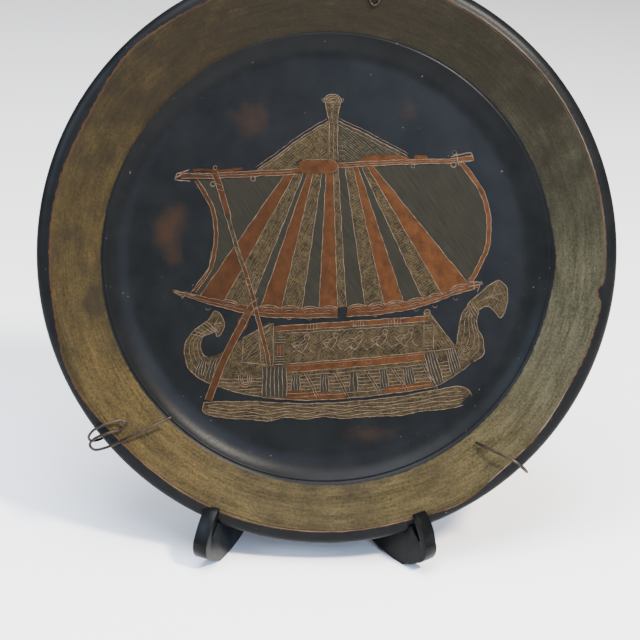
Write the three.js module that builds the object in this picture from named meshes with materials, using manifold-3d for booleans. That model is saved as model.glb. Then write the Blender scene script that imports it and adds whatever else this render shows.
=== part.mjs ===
// Round metal wall plate with a wire plate hanger, standing in a small black easel.
// Millimetres, +Z up. The plate's face looks towards -Y and leans back, and the feet stand on Z = 0.

import * as THREE from 'three';
import { mergeVertices } from 'three/addons/utils/BufferGeometryUtils.js';
import Module from 'manifold-3d';

const wasm = await Module();
wasm.setup();

// ---- driving dimensions --------------------------------------------------------------------

const GAP = 0.3; // clearance between pieces that touch

const LEAN = THREE.MathUtils.degToRad(16); // how far the plate leans back
const HANGER_TURN = THREE.MathUtils.degToRad(3.3); // how far the hanger is turned on the plate
const PLATE_RADIUS = 76;
const SHEET = 1.0; // thickness of the plate's metal
const FLOOR_RADIUS = 51.8; // flat floor of the well
const COVE_RADIUS = 11; // round between the floor and the wall
const WALL_SLOPE = THREE.MathUtils.degToRad(42.5);
const WELL_DEPTH = 3.2; // floor to the crease where the rim starts
const RIM_RISE = 5.1; // how much higher the rim's outer edge is than the crease
const LIP_WIDTH = 3.6; // the rounded band round the edge
const LIP_DROP = 2.1; // how far that band turns down
const PLATE_SEGMENTS = 96;
const PLATE_CENTRE = new THREE.Vector3(0, 33.3, 77.8); // middle of the plate, level with the floor
const WELL_SHIFT = new THREE.Vector2(-0.16, -0.96); // the well isn't quite in the plate's middle

const WIRE_RADIUS = 0.38;
const WIRE_SIDES = 8;
const WIRE_STEP = 2.2; // length of one straight stretch of a faceted wire
const SPRING_RADIUS = 2.0;
const SPRING_LENGTH = 24;
const SPRING_SIDES = 12;
const WIRE_BEHIND = -SHEET - GAP - WIRE_RADIUS; // height of a wire lying on the plate's back
const SPRING_BEHIND = -SHEET - GAP - SPRING_RADIUS;

const WING_THICKNESS = 3.9;
const WING_TOP = 60;
// Each wing: where its inner face meets the front, how far it turns in towards the spine, and how
// far back the tip of its finger is.
const LEFT_WING = { side: -1, x: -30.5, splay: THREE.MathUtils.degToRad(28), tip: 6.5 };
const RIGHT_WING = { side: 1, x: 27.2, splay: THREE.MathUtils.degToRad(36), tip: 5.4 };
const HOOK_RADIUS = 4.4; // round front of each wing
const HOOK_HEIGHT = 7.2;
const SOLE_START = 8.3; // distances along the wing from its front
const SOLE_END = 12.0;
const SPINE_RADIUS = 5;
const SPINE_HEIGHT = 66;

// ---- helpers -------------------------------------------------------------------------------

const vec2 = (x, y) => new THREE.Vector2(x, y);
const vec3 = (x, y, z) => new THREE.Vector3(x, y, z);

// Removes what rounding leaves behind, so that a shape's shared corners are one vertex.
function welded(geometry) {
  geometry.deleteAttribute('normal');
  geometry.deleteAttribute('uv');
  return mergeVertices(geometry, 1e-4);
}

function toSolid(geometry) {
  const merged = welded(geometry.clone());
  const vertProperties = new Float32Array(merged.attributes.position.array);
  const triVerts = new Uint32Array(merged.index.array);
  return new wasm.Manifold(new wasm.Mesh({ numProp: 3, vertProperties, triVerts }));
}

function toGeometry(solid) {
  const mesh = solid.getMesh();
  const geometry = new THREE.BufferGeometry();
  geometry.setAttribute('position', new THREE.BufferAttribute(mesh.vertProperties, 3));
  geometry.setIndex(new THREE.BufferAttribute(mesh.triVerts, 1));
  geometry.computeVertexNormals();
  return geometry;
}

function part(name, geometry, material) {
  const mesh = new THREE.Mesh(geometry, material);
  mesh.name = name;
  return mesh;
}

// ---- materials -----------------------------------------------------------------------------

const patinatedMetal = new THREE.MeshStandardMaterial({
  color: 0x6b5c3c, roughness: 0.5, metalness: 0.7,
});
const bronzeWire = new THREE.MeshStandardMaterial({
  color: 0x5a4a3c, roughness: 0.4, metalness: 0.9,
});
const springSteel = new THREE.MeshStandardMaterial({
  color: 0x77736b, roughness: 0.4, metalness: 0.9,
});
const blackPlastic = new THREE.MeshStandardMaterial({
  color: 0x1c1d1f, roughness: 0.4, metalness: 0,
});

// ---- plate ---------------------------------------------------------------------------------

// Height of the rim's face above the well's floor at a radius between the crease and the lip.
const CREASE_RADIUS = FLOOR_RADIUS + COVE_RADIUS * Math.sin(WALL_SLOPE)
  + (WELL_DEPTH - COVE_RADIUS * (1 - Math.cos(WALL_SLOPE))) / Math.tan(WALL_SLOPE);
const LIP_RADIUS = PLATE_RADIUS - LIP_WIDTH;
const rimHeight = (radius) =>
  WELL_DEPTH + (RIM_RISE * (radius - CREASE_RADIUS)) / (LIP_RADIUS - CREASE_RADIUS);

// The face's outline as (radius, height), from the middle of the floor to the end of the lip.
function facePoints() {
  const points = [vec2(0, 0), vec2(FLOOR_RADIUS / 2, 0)];
  const coveSteps = 5;
  for (let i = 0; i <= coveSteps; i++) {
    const turn = (WALL_SLOPE * i) / coveSteps;
    points.push(vec2(
      FLOOR_RADIUS + COVE_RADIUS * Math.sin(turn),
      COVE_RADIUS * (1 - Math.cos(turn)),
    ));
  }
  points.push(vec2(CREASE_RADIUS, WELL_DEPTH));
  const lipSteps = 4;
  for (let i = 0; i <= lipSteps; i++) {
    const turn = (Math.PI * i) / (2 * lipSteps);
    points.push(vec2(
      LIP_RADIUS + LIP_WIDTH * Math.sin(turn),
      WELL_DEPTH + RIM_RISE - LIP_DROP * (1 - Math.cos(turn)),
    ));
  }
  return points;
}

// Closes the face's outline into a sheet: each point steps back along the outline's normal.
// grow adds the same amount to both faces and to the edge.
function sheetOutline(face, thickness, grow = 0) {
  const offset = (distance) => face.map((point, i) => {
    const before = face[Math.max(i - 1, 0)];
    const after = face[Math.min(i + 1, face.length - 1)];
    const along = after.clone().sub(before).normalize();
    const radius = Math.max(point.x + along.y * distance, 0);
    return vec2(i === 0 ? 0 : radius, point.y - along.x * distance);
  });
  const front = offset(-grow);
  const back = offset(thickness + grow);
  if (grow > 0) {
    front.push(front.at(-1).clone().add(vec2(grow, -grow)));
    back.push(back.at(-1).clone().add(vec2(0, -grow)));
  } else {
    for (const end of [front, back]) end.at(-1).x = Math.min(end.at(-1).x, PLATE_RADIUS);
  }
  return [...back, ...front.reverse()];
}

// The whole shift inside the crease, fading to none at the lip.
function shiftWell(geometry) {
  const position = geometry.attributes.position;
  for (let i = 0; i < position.count; i++) {
    const radius = Math.hypot(position.getX(i), position.getY(i));
    const share = 1 - THREE.MathUtils.clamp(
      (radius - CREASE_RADIUS) / (LIP_RADIUS - CREASE_RADIUS), 0, 1,
    );
    position.setX(i, position.getX(i) + WELL_SHIFT.x * share);
    position.setY(i, position.getY(i) + WELL_SHIFT.y * share);
  }
  return geometry;
}

function plateGeometry(grow = 0) {
  const outline = sheetOutline(facePoints(), SHEET, grow);
  const lathe = new THREE.LatheGeometry(outline, PLATE_SEGMENTS);
  return shiftWell(lathe.rotateX(Math.PI / 2)); // the axis turns from Y to Z, and the face looks to +Z
}

// ---- wire hanger, in a frame that HANGER_TURN turns on the plate: X right, Y up its face, Z out

function wire(name, points) {
  const section = new THREE.Shape();
  section.absarc(0, 0, WIRE_RADIUS, 0, 2 * Math.PI, false);
  const path = new THREE.CatmullRomCurve3(points, false, 'centripetal');
  const geometry = new THREE.ExtrudeGeometry(section, {
    extrudePath: path,
    steps: Math.round(path.getLength() / WIRE_STEP),
    curveSegments: WIRE_SIDES / 2,
    bevelEnabled: false,
  });
  return part(name, geometry, bronzeWire);
}

const polar = (radius, angle, height) =>
  vec3(radius * Math.cos(angle), radius * Math.sin(angle), height);

// The three places where the hanger grips the plate's edge.
const TOP_ANGLE = THREE.MathUtils.degToRad(79);
const LEFT_ANGLE = THREE.MathUtils.degToRad(216.5);
const RIGHT_ANGLE = THREE.MathUtils.degToRad(-49);
const TOP_GRIP = polar(PLATE_RADIUS, TOP_ANGLE, 0);
const LEFT_GRIP = polar(PLATE_RADIUS, LEFT_ANGLE, 0);
const RIGHT_GRIP = polar(PLATE_RADIUS, RIGHT_ANGLE, 0);

// A spring lies half way along the straight line behind the plate from the top grip to a lower one.
function springEnds(grip) {
  const middle = TOP_GRIP.clone().lerp(grip, 0.5);
  const half = grip.clone().sub(TOP_GRIP).setLength(SPRING_LENGTH / 2);
  return { upper: middle.clone().sub(half), lower: middle.clone().add(half), half };
}

// Where a wire stops, a gap away from the spring's end, on the plate's back.
function wireEnd(end, half, sign) {
  const step = half.clone().setLength(sign * (GAP + 0.1));
  return end.clone().add(step).setZ(WIRE_BEHIND);
}

function spring(name, grip) {
  const { upper, lower, half } = springEnds(grip);
  const geometry = new THREE.CylinderGeometry(
    SPRING_RADIUS, SPRING_RADIUS, SPRING_LENGTH, SPRING_SIDES,
  );
  const mesh = part(name, geometry, springSteel);
  mesh.position.copy(upper).add(lower).multiplyScalar(0.5).setZ(SPRING_BEHIND);
  mesh.quaternion.setFromUnitVectors(vec3(0, 1, 0), half.clone().normalize());
  return mesh;
}

// A wire's way out from the well's back towards a grip: two points behind the rim, on the
// straight line between two grips, or beside that line.
function behindRim(grip, towards, side = 0) {
  const along = towards.clone().sub(grip).normalize();
  const across = vec3(-along.y, along.x, 0).multiplyScalar(side);
  const at = (distance, height) =>
    grip.clone().addScaledVector(along, distance).add(across).setZ(height);
  return [at(26, WIRE_BEHIND - 0.4), at(14, WIRE_BEHIND + 0.1)];
}

// One wire: two legs behind the plate, over its top edge, and a closed loop on the rim's face.
function topWire() {
  const halfLoop = 1.05; // half the loop's width, to the middle of the wire
  const loopEnd = 65.7; // how far from the plate's middle the loop ends
  const loopShoulder = loopEnd + 0.9;
  const left = springEnds(LEFT_GRIP);
  const right = springEnds(RIGHT_GRIP);
  const inward = polar(1, TOP_ANGLE, 0);
  const across = vec3(-inward.y, inward.x, 0);
  const onRim = (radius, offset, height) => inward.clone().multiplyScalar(radius)
    .addScaledVector(across, offset).setZ(height);
  const over = (offset) => [
    onRim(PLATE_RADIUS - 2, offset, 3.9),
    onRim(PLATE_RADIUS + 1.2, offset, 5.2),
    onRim(PLATE_RADIUS + 1.5, offset, 8.2),
    onRim(PLATE_RADIUS - 1.5, offset, 9.7),
    onRim(70, offset, rimHeight(70) + 1.0),
  ];
  const loopHeight = rimHeight(loopEnd) + 0.9;
  const leftLeg = behindRim(TOP_GRIP, LEFT_GRIP, -halfLoop);
  const rightLeg = behindRim(TOP_GRIP, RIGHT_GRIP, halfLoop);
  return wire('hanger_top_wire', [
    wireEnd(left.upper, left.half, -1),
    ...leftLeg,
    ...over(halfLoop),
    onRim(loopShoulder, halfLoop * 0.95, loopHeight),
    onRim(loopEnd, 0, loopHeight),
    onRim(loopShoulder, -halfLoop * 0.95, loopHeight),
    ...over(-halfLoop).reverse(),
    ...rightLeg.reverse(),
    wireEnd(right.upper, right.half, -1),
  ]);
}

// One wire: from the left spring round the edge, a hairpin on the rim, a loop outside the edge,
// and a long straight arm that ends over the crease.
function leftWire() {
  const { lower, half } = springEnds(LEFT_GRIP);
  return wire('hanger_left_wire', [
    wireEnd(lower, half, 1),
    ...behindRim(LEFT_GRIP, TOP_GRIP),
    vec3(-59.0, -44.6, 2.2),
    vec3(-61.8, -46.2, 4.0),
    vec3(-63.9, -46.0, 6.4),
    vec3(-64.3, -44.7, 8.2),
    vec3(-62.6, -42.6, 9.6),
    vec3(-58.3, -41.0, 9.5),
    vec3(-55.4, -40.6, 9.2),
    vec3(-54.5, -41.6, 9.1),
    vec3(-55.6, -42.8, 9.2),
    vec3(-60.0, -43.9, 9.6),
    vec3(-63.1, -45.3, 9.6),
    vec3(-64.0, -46.7, 9.2),
    vec3(-63.0, -47.9, 9.2),
    vec3(-59.8, -47.4, 9.9),
    vec3(-51.3, -43.8, 10.2),
    vec3(-42.8, -40.2, 8.8),
  ]);
}

// One wire: from the right spring round the edge, standing up off it, and down onto the rim.
function rightWire() {
  const { lower, half } = springEnds(RIGHT_GRIP);
  return wire('hanger_right_wire', [
    wireEnd(lower, half, 1),
    ...behindRim(RIGHT_GRIP, TOP_GRIP),
    vec3(48.6, -55.9, 3.2),
    vec3(50.7, -58.4, 6.4),
    vec3(50.4, -58.0, 10.2),
    vec3(48.1, -55.6, 11.6),
    vec3(42.5, -52.6, 9.8),
    vec3(37.8, -50.6, rimHeight(63.2) + 0.8),
  ]);
}

// ---- stand ---------------------------------------------------------------------------------

// The spine stands where the planes of the two inner faces cross.
const SPINE_Y = (RIGHT_WING.x - LEFT_WING.x)
  / (Math.tan(LEFT_WING.splay) + Math.tan(RIGHT_WING.splay));
const SPINE_X = LEFT_WING.x + SPINE_Y * Math.tan(LEFT_WING.splay);

// A wing's outline as (distance back from its front, height): foot, arch, back, the edge that
// follows the plate, the ledge under the rim, the tooth and the slot in front of it, the finger
// that leans back over the rim, and the round hook.
function wingShape(splay, tip) {
  const behindPlate = (height) => {
    const y = PLATE_CENTRE.y + (height - PLATE_CENTRE.z) * Math.tan(LEAN)
      + (SHEET + GAP) / Math.cos(LEAN);
    return y / Math.cos(splay);
  };
  const shape = new THREE.Shape();
  const wingEnd = SPINE_Y / Math.cos(splay);
  const leanStart = 31;
  shape.moveTo(SOLE_START, 0);
  shape.lineTo(SOLE_END, 0);
  shape.quadraticCurveTo(24, 1.2, 30, 6.2);
  shape.quadraticCurveTo(32.6, 8.6, 36, 9);
  shape.lineTo(wingEnd, 9);
  shape.lineTo(wingEnd, WING_TOP - 4);
  shape.quadraticCurveTo(wingEnd, WING_TOP, wingEnd - 5, WING_TOP);
  shape.lineTo(behindPlate(WING_TOP - 3) + 3, WING_TOP);
  shape.quadraticCurveTo(
    behindPlate(WING_TOP) + 0.6, WING_TOP,
    behindPlate(WING_TOP - 4), WING_TOP - 4,
  );
  shape.lineTo(behindPlate(leanStart), leanStart);
  shape.quadraticCurveTo(20, 12, 14, 10.2);
  shape.lineTo(10.4, 10.0);
  shape.lineTo(6.9, 12.2);
  shape.quadraticCurveTo(6.3, 12.7, 5.9, 12.0);
  const slot = tip / 2 + 0.3;
  shape.lineTo(slot + 0.6, 10.0);
  shape.quadraticCurveTo(slot, 9.0, slot - 0.5, 10.0);
  shape.lineTo(tip + 0.3, 15.2);
  shape.quadraticCurveTo(tip + 1, 16.5, tip, 16.4);
  shape.quadraticCurveTo(tip - 3.7, 14, 0.59, 9.4);
  shape.absarc(
    HOOK_RADIUS, HOOK_HEIGHT, HOOK_RADIUS,
    THREE.MathUtils.degToRad(150), THREE.MathUtils.degToRad(250), false,
  );
  shape.lineTo(5.4, 1.4);
  shape.quadraticCurveTo(7.2, 0.9, SOLE_START, 0);
  return shape;
}

const seatPlate = toSolid(
  plateGeometry(GAP).applyMatrix4(leaningFrame(PLATE_CENTRE)),
);

function leaningFrame(position) {
  return new THREE.Matrix4().makeRotationX(Math.PI / 2 - LEAN).setPosition(position);
}

function spineGeometry(grow = 0) {
  const radius = SPINE_RADIUS + grow;
  const top = SPINE_HEIGHT + grow;
  const foot = -grow;
  const outline = [
    vec2(0, foot), vec2(radius, foot), vec2(radius, top - 2),
    vec2(radius - 0.6, top - 0.6), vec2(radius - 2, top), vec2(0, top),
  ];
  return new THREE.LatheGeometry(outline, 24).rotateX(Math.PI / 2)
    .translate(SPINE_X, SPINE_Y, 0);
}

const seatSpine = toSolid(spineGeometry(GAP));

// side is 1 for the right wing and -1 for the left one.
function wing(name, { side, x, splay, tip }) {
  const geometry = new THREE.ExtrudeGeometry(wingShape(splay, tip), {
    depth: WING_THICKNESS, curveSegments: 8, bevelEnabled: false,
  });
  if (side < 0) geometry.translate(0, 0, -WING_THICKNESS);
  const along = vec3(-side * Math.sin(splay), Math.cos(splay), 0);
  const up = vec3(0, 0, 1);
  const frame = new THREE.Matrix4().makeBasis(along, up, along.clone().cross(up));
  frame.setPosition(x, 0, 0);
  geometry.applyMatrix4(frame);
  const solid = toSolid(geometry).subtract(seatPlate).subtract(seatSpine);
  return part(name, toGeometry(solid), blackPlastic);
}

// ---- assembly ------------------------------------------------------------------------------

const hanger = new THREE.Group();
hanger.rotation.z = HANGER_TURN;
hanger.add(
  topWire(),
  leftWire(),
  rightWire(),
  spring('hanger_left_spring', LEFT_GRIP),
  spring('hanger_right_spring', RIGHT_GRIP),
);

const leaning = new THREE.Group();
leaning.applyMatrix4(leaningFrame(PLATE_CENTRE));
leaning.add(part('plate', welded(plateGeometry()), patinatedMetal), hanger);

const plaque = new THREE.Group();
plaque.add(
  leaning,
  wing('stand_left_wing', LEFT_WING),
  wing('stand_right_wing', RIGHT_WING),
  part('stand_spine', welded(spineGeometry()), blackPlastic),
);

// The origin is under the middle of the whole thing.
plaque.updateMatrixWorld(true);
const bounds = new THREE.Box3().setFromObject(plaque, true);
const middle = bounds.getCenter(vec3(0, 0, 0));
plaque.position.set(-middle.x, -middle.y, -bounds.min.z);

export default plaque;
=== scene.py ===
"""Round metal wall plate with an inlaid sailing ship, its wire hanger, and its black easel.

Lengths of the plate and its ornament are in millimetres in the plate's own frame: X to the right,
Y up its face and Z out of its face, from the middle of the plate at the level of the well's floor.
"""
import math
from functools import partial

import bmesh
import bpy
import numpy as np
from mathutils import Matrix, Vector


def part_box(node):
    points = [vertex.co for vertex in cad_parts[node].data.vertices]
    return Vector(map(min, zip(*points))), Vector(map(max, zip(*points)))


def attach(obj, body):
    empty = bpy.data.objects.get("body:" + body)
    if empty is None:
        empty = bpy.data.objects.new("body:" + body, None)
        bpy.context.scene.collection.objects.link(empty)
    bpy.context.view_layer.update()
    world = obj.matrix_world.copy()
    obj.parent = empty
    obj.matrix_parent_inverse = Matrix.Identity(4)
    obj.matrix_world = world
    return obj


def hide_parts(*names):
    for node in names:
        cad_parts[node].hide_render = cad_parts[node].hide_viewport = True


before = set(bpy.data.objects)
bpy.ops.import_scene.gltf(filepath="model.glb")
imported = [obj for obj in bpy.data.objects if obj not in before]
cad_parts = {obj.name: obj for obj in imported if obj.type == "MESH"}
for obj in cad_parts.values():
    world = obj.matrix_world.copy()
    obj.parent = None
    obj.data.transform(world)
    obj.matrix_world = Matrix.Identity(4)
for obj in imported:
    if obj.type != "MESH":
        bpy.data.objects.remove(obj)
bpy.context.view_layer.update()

MM = 0.001

# ---- measures of the plate ---------------------------------------------------------------------

LEAN = math.radians(16)
PLATE_RADIUS = 76.0
SHEET = 1.0
FLOOR_RADIUS = 51.8
COVE_RADIUS = 11.0
WALL_SLOPE = math.radians(42.5)
WELL_DEPTH = 3.2
RIM_RISE = 5.1  # from the well's crease to the lip
LIP_WIDTH = 3.6
LIP_DROP = 2.1
WELL_SHIFT = np.array([-0.16, -0.96])  # of the well's middle from the plate's
CREASE_RADIUS = (FLOOR_RADIUS + COVE_RADIUS * math.sin(WALL_SLOPE)
                 + (WELL_DEPTH - COVE_RADIUS * (1 - math.cos(WALL_SLOPE))) / math.tan(WALL_SLOPE))
LIP_RADIUS = PLATE_RADIUS - LIP_WIDTH


def centre_of(box):
    """Middle of a (lowest corner, highest corner) box."""
    return (np.array(box[0]) + np.array(box[1])) / 2


# The plate's frame in the row frame: its three axes, and its origin from the CAD plate's box.
FACE_RIGHT = np.array([1.0, 0.0, 0.0])
FACE_UP = np.array([0.0, math.sin(LEAN), math.cos(LEAN)])
FACE_OUT = np.array([0.0, -math.cos(LEAN), math.sin(LEAN)])


def turned(points):
    """Plate-frame millimetres to metres along the row frame's axes, from the plate's origin."""
    return (points @ np.stack([FACE_RIGHT, FACE_UP, FACE_OUT])) * MM


# ---- curves ------------------------------------------------------------------------------------

def path(points, per_span=8):
    """Centripetal Catmull-Rom curve through the points: on each span a cubic whose end slopes come
    from the neighbouring points, with each span's length taken as the root of its chord."""
    p = np.array(points, float)
    p = np.concatenate([[2 * p[0] - p[1]], p, [2 * p[-1] - p[-2]]])
    chord = np.sqrt(np.linalg.norm(np.diff(p, axis=0), axis=1))[:, None]
    p0, p1, p2, p3 = p[:-3], p[1:-2], p[2:-1], p[3:]
    d0, d1, d2 = chord[:-2], chord[1:-1], chord[2:]
    slope1 = ((p1 - p0) / d0 - (p2 - p0) / (d0 + d1) + (p2 - p1) / d1) * d1
    slope2 = ((p2 - p1) / d1 - (p3 - p1) / (d1 + d2) + (p3 - p2) / d2) * d1
    t = np.linspace(0, 1, per_span, endpoint=False)[None, :, None]
    a, b, u, v = (q[:, None, :] for q in (p1, p2, slope1, slope2))
    spans = (a + u * t + (-3 * a + 3 * b - 2 * u - v) * t ** 2
             + (2 * a - 2 * b + u + v) * t ** 3)
    return np.concatenate([spans.reshape(-1, p.shape[1]), p[-2:-1]])


def arc(centre, radius, start, end, steps=12, squeeze=1.0):
    """Part of an ellipse: centre + radius (cos t, squeeze sin t), from start to end degrees."""
    t = np.radians(np.linspace(start, end, steps))
    return np.array(centre) + radius * np.stack([np.cos(t), squeeze * np.sin(t)], -1)


def straight(a, b, steps=2):
    """Points evenly along the line from a to b."""
    return np.array(a) + np.linspace(0, 1, steps)[:, None] * (np.array(b) - np.array(a))


def directions(points):
    """Unit vectors along a line, at each of its points."""
    along = np.gradient(np.array(points, float), axis=0)
    return along / np.linalg.norm(along, axis=1)[:, None]


def beside(points, distance):
    """The points moved sideways by distance, to the left of their direction."""
    along = directions(points)
    return np.array(points, float) + distance * np.stack([-along[:, 1], along[:, 0]], -1)


def hand(points, size=0.07):
    """A graver's unsteadiness: each point moves by size times a sum of slow sines of its place."""
    p = np.array(points, float)
    wave = np.stack([np.sin(1.9 * p[:, 1] + 0.7 * p[:, 0]) + np.sin(0.83 * p[:, 1] - 1.3),
                     np.sin(2.3 * p[:, 0] - 0.6 * p[:, 1]) + np.sin(0.71 * p[:, 0] + 2.1)], -1)
    return p + size * wave


def band(points, width):
    """Closed outline of a band of that width (one number, or one for each point) on a line."""
    half = np.broadcast_to(np.asarray(width, float) / 2, (len(points),))[:, None]
    side = beside(points, 1.0) - np.array(points)
    return np.concatenate([points + side * half, (points - side * half)[::-1]])


def ruled(outline, angle, spacing, seed=0, ragged=0.25):
    """Straight cuts inside an outline: parallel lines at that angle and spacing, each cut at the
    outline's edges by where the line crosses them, with ragged ends and slightly uneven spacing."""
    rng = np.random.default_rng(seed)
    c, s = math.cos(math.radians(angle)), math.sin(math.radians(angle))
    turn = np.array([[c, -s], [s, c]])
    p = np.array(outline) @ turn
    q = np.roll(p, -1, axis=0)
    cuts = []
    for level in np.arange(p[:, 1].min() + spacing / 2, p[:, 1].max(), spacing):
        y = level + rng.uniform(-0.2, 0.2) * spacing
        cross = (p[:, 1] > y) != (q[:, 1] > y)
        a, b = p[cross], q[cross]
        xs = np.sort(a[:, 0] + (y - a[:, 1]) * (b[:, 0] - a[:, 0]) / (b[:, 1] - a[:, 1]))
        for x0, x1 in zip(xs[::2], xs[1::2]):
            x0, x1 = x0 + rng.uniform(0.1, ragged + 0.1), x1 - rng.uniform(0.1, ragged + 0.1)
            if x1 - x0 > 0.3:
                cuts.append(np.array([[x0, y], [x1, y]]) @ turn.T)
    return cuts


# ---- meshes ------------------------------------------------------------------------------------

def placed(name, data):
    """An object of that name and data, put into the scene."""
    made = bpy.data.objects.new(name, data)
    bpy.context.scene.collection.objects.link(made)
    return made


def new_piece(name, points, faces, material, slot, replaces=(), smooth=False, extra=None):
    """A mesh piece from plate-frame points in millimetres. It keeps those points as the attribute
    dish, for its material's patterns, and rides on the body."""
    mesh = bpy.data.meshes.new(name)
    mesh.from_pydata((PLATE_ORIGIN + turned(points)).tolist(), [], faces)
    mesh.attributes.new("dish", "FLOAT_VECTOR", "POINT").data.foreach_set(
        "vector", np.asarray(points, np.float32).ravel())
    for key, values in (extra or {}).items():
        mesh.attributes.new(key, "FLOAT", "POINT").data.foreach_set(
            "value", np.asarray(values, np.float32))
    mesh.materials.append(material)
    mesh.polygons.foreach_set("use_smooth", np.full(len(mesh.polygons), smooth))
    piece = placed(name, mesh)
    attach(piece, "root")
    if replaces:
        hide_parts(*replaces)
    return piece


def grid_faces(rows, columns, closed=False, base=0):
    """Quads of a grid whose points run along each row, as numbers from base up. Where closed is
    true, its last column is joined to its first."""
    i, j = np.meshgrid(np.arange(rows - 1), np.arange(columns if closed else columns - 1),
                       indexing="ij")
    k = (j + 1) % columns
    quads = np.stack([i * columns + j, i * columns + k, (i + 1) * columns + k,
                      (i + 1) * columns + j], -1)
    return (quads.reshape(-1, 4) + base).tolist()


def lines_mesh(strokes):
    """Raised threads lying on the floor, one for each (points, width, base, top): along the line
    runs a low roof with sloping sides, narrower towards both ends, closed under and at its ends."""
    points, faces, base = [], [], 0
    for line, width, low, top in strokes:
        n = len(line)
        ends = np.minimum(np.arange(n), np.arange(n)[::-1])
        half = width / 2 * np.where(ends == 0, 0.55, 1.0)[:, None]
        side = beside(line, 1.0) - line
        rails = [(-1.0, low), (-0.45, top), (0.45, top), (1.0, low)]
        cross = np.stack([np.concatenate(
            [line + side * half * across, np.full((n, 1), height)], 1)
            for across, height in rails], 1)
        points.append(cross.reshape(-1, 3))
        faces += grid_faces(n, 4, closed=True, base=base)
        faces += [[base + k for k in (0, 1, 2, 3)],
                  [base + 4 * (n - 1) + k for k in (3, 2, 1, 0)]]
        base += 4 * n
    return np.concatenate(points), faces


def fields_mesh(fields):
    """Thin flat plates, one for each (outline, base, top): the outline at the top, and a little
    wider at the base, so that its edge slopes."""
    points, faces, base = [], [], 0
    for outline, low, top in fields:
        p = np.array(outline, float)
        area = np.sum(p[:, 0] * np.roll(p[:, 1], -1) - p[:, 1] * np.roll(p[:, 0], -1))
        if area < 0:
            p = p[::-1]
        n = len(p)
        points += [np.column_stack([p, np.full(n, top)]), np.column_stack([p, np.full(n, low)])]
        ring = np.arange(n)
        faces.append((base + ring).tolist())
        faces.append((base + n + ring[::-1]).tolist())
        faces += np.stack([base + ring, base + n + ring, base + n + np.roll(ring, -1),
                           base + np.roll(ring, -1)], -1).tolist()
        base += 2 * n
    return np.concatenate(points), faces


# ---- materials ---------------------------------------------------------------------------------

def linear(hex_colour):
    """sRGB hex text to linear RGBA."""
    parts = [int(hex_colour[i:i + 2], 16) / 255 for i in (1, 3, 5)]
    return [v / 12.92 if v <= 0.04045 else ((v + 0.055) / 1.055) ** 2.4 for v in parts] + [1.0]


def feed(tree, sockets, inputs):
    """Gives each input socket its value or its sRGB hex colour, or links it to an output."""
    for key, value in inputs.items():
        if isinstance(value, bpy.types.NodeSocket):
            tree.links.new(value, sockets[key])
        else:
            sockets[key].default_value = linear(value) if isinstance(value, str) else value


def node(tree, kind, inputs, output=0, **settings):
    """Adds a node with its settings and its inputs, by socket or in order, and gives an output."""
    made = tree.nodes.new("ShaderNode" + kind)
    for key, value in settings.items():
        setattr(made, key, value)
    feed(tree, made.inputs, inputs if isinstance(inputs, dict) else dict(enumerate(inputs)))
    return made.outputs[output]


def new_material(name):
    """An empty material, and the node function for its tree."""
    material = bpy.data.materials.new(name)
    material.use_nodes = True
    return material, partial(node, material.node_tree)


def shaded(material, inputs, relief=None, depth=0.0, strength=1.0):
    """The material, with its Principled shader's own sockets fed, and relief of depth metres."""
    tree = material.node_tree
    if relief is not None:
        inputs["Normal"] = node(tree, "Bump", {"Height": relief, "Distance": depth,
                                               "Strength": strength})
    feed(tree, tree.nodes["Principled BSDF"].inputs, inputs)
    return material


def clouded(name, grain, span, dark, light, finish, place=None):
    """A material whose colour runs from dark to light with one noise, over the span of its value.
    The noise has a (size of its grains, detail, roughness), in the plate's millimetres, or in the
    object's metres where place says so."""
    material, add = new_material(name)
    place = add("TexCoord", {}, "Object") if place else add("Attribute", {}, 1,
                                                           attribute_name="dish")
    size, detail, rough = grain
    cloud = add("TexNoise", {"Vector": place, "Scale": 1.0 / size, "Detail": detail,
                             "Roughness": rough})
    colour = add("Mix", {0: add("MapRange", (cloud, *span)), 6: dark, 7: light}, 2,
                 data_type="RGBA")
    return shaded(material, {"Base Color": colour, **finish})


def around(add, dish, stretch, fine):
    """Coordinates for marks that run round the plate: the direction from its middle times stretch,
    and the distance from its middle over fine, so that noise on it draws long thin arcs."""
    flat = add("VectorMath", (dish, (1, 1, 0)), operation="MULTIPLY")
    length = add("VectorMath", (flat,), "Value", operation="LENGTH")
    unit = add("VectorMath", (flat,), operation="NORMALIZE")
    wide = add("VectorMath", {0: unit, "Scale": stretch}, operation="SCALE")
    level = add("CombineXYZ", {"Z": add("Math", (length, fine), operation="DIVIDE")})
    return add("VectorMath", (wide, level), operation="ADD")


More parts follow.
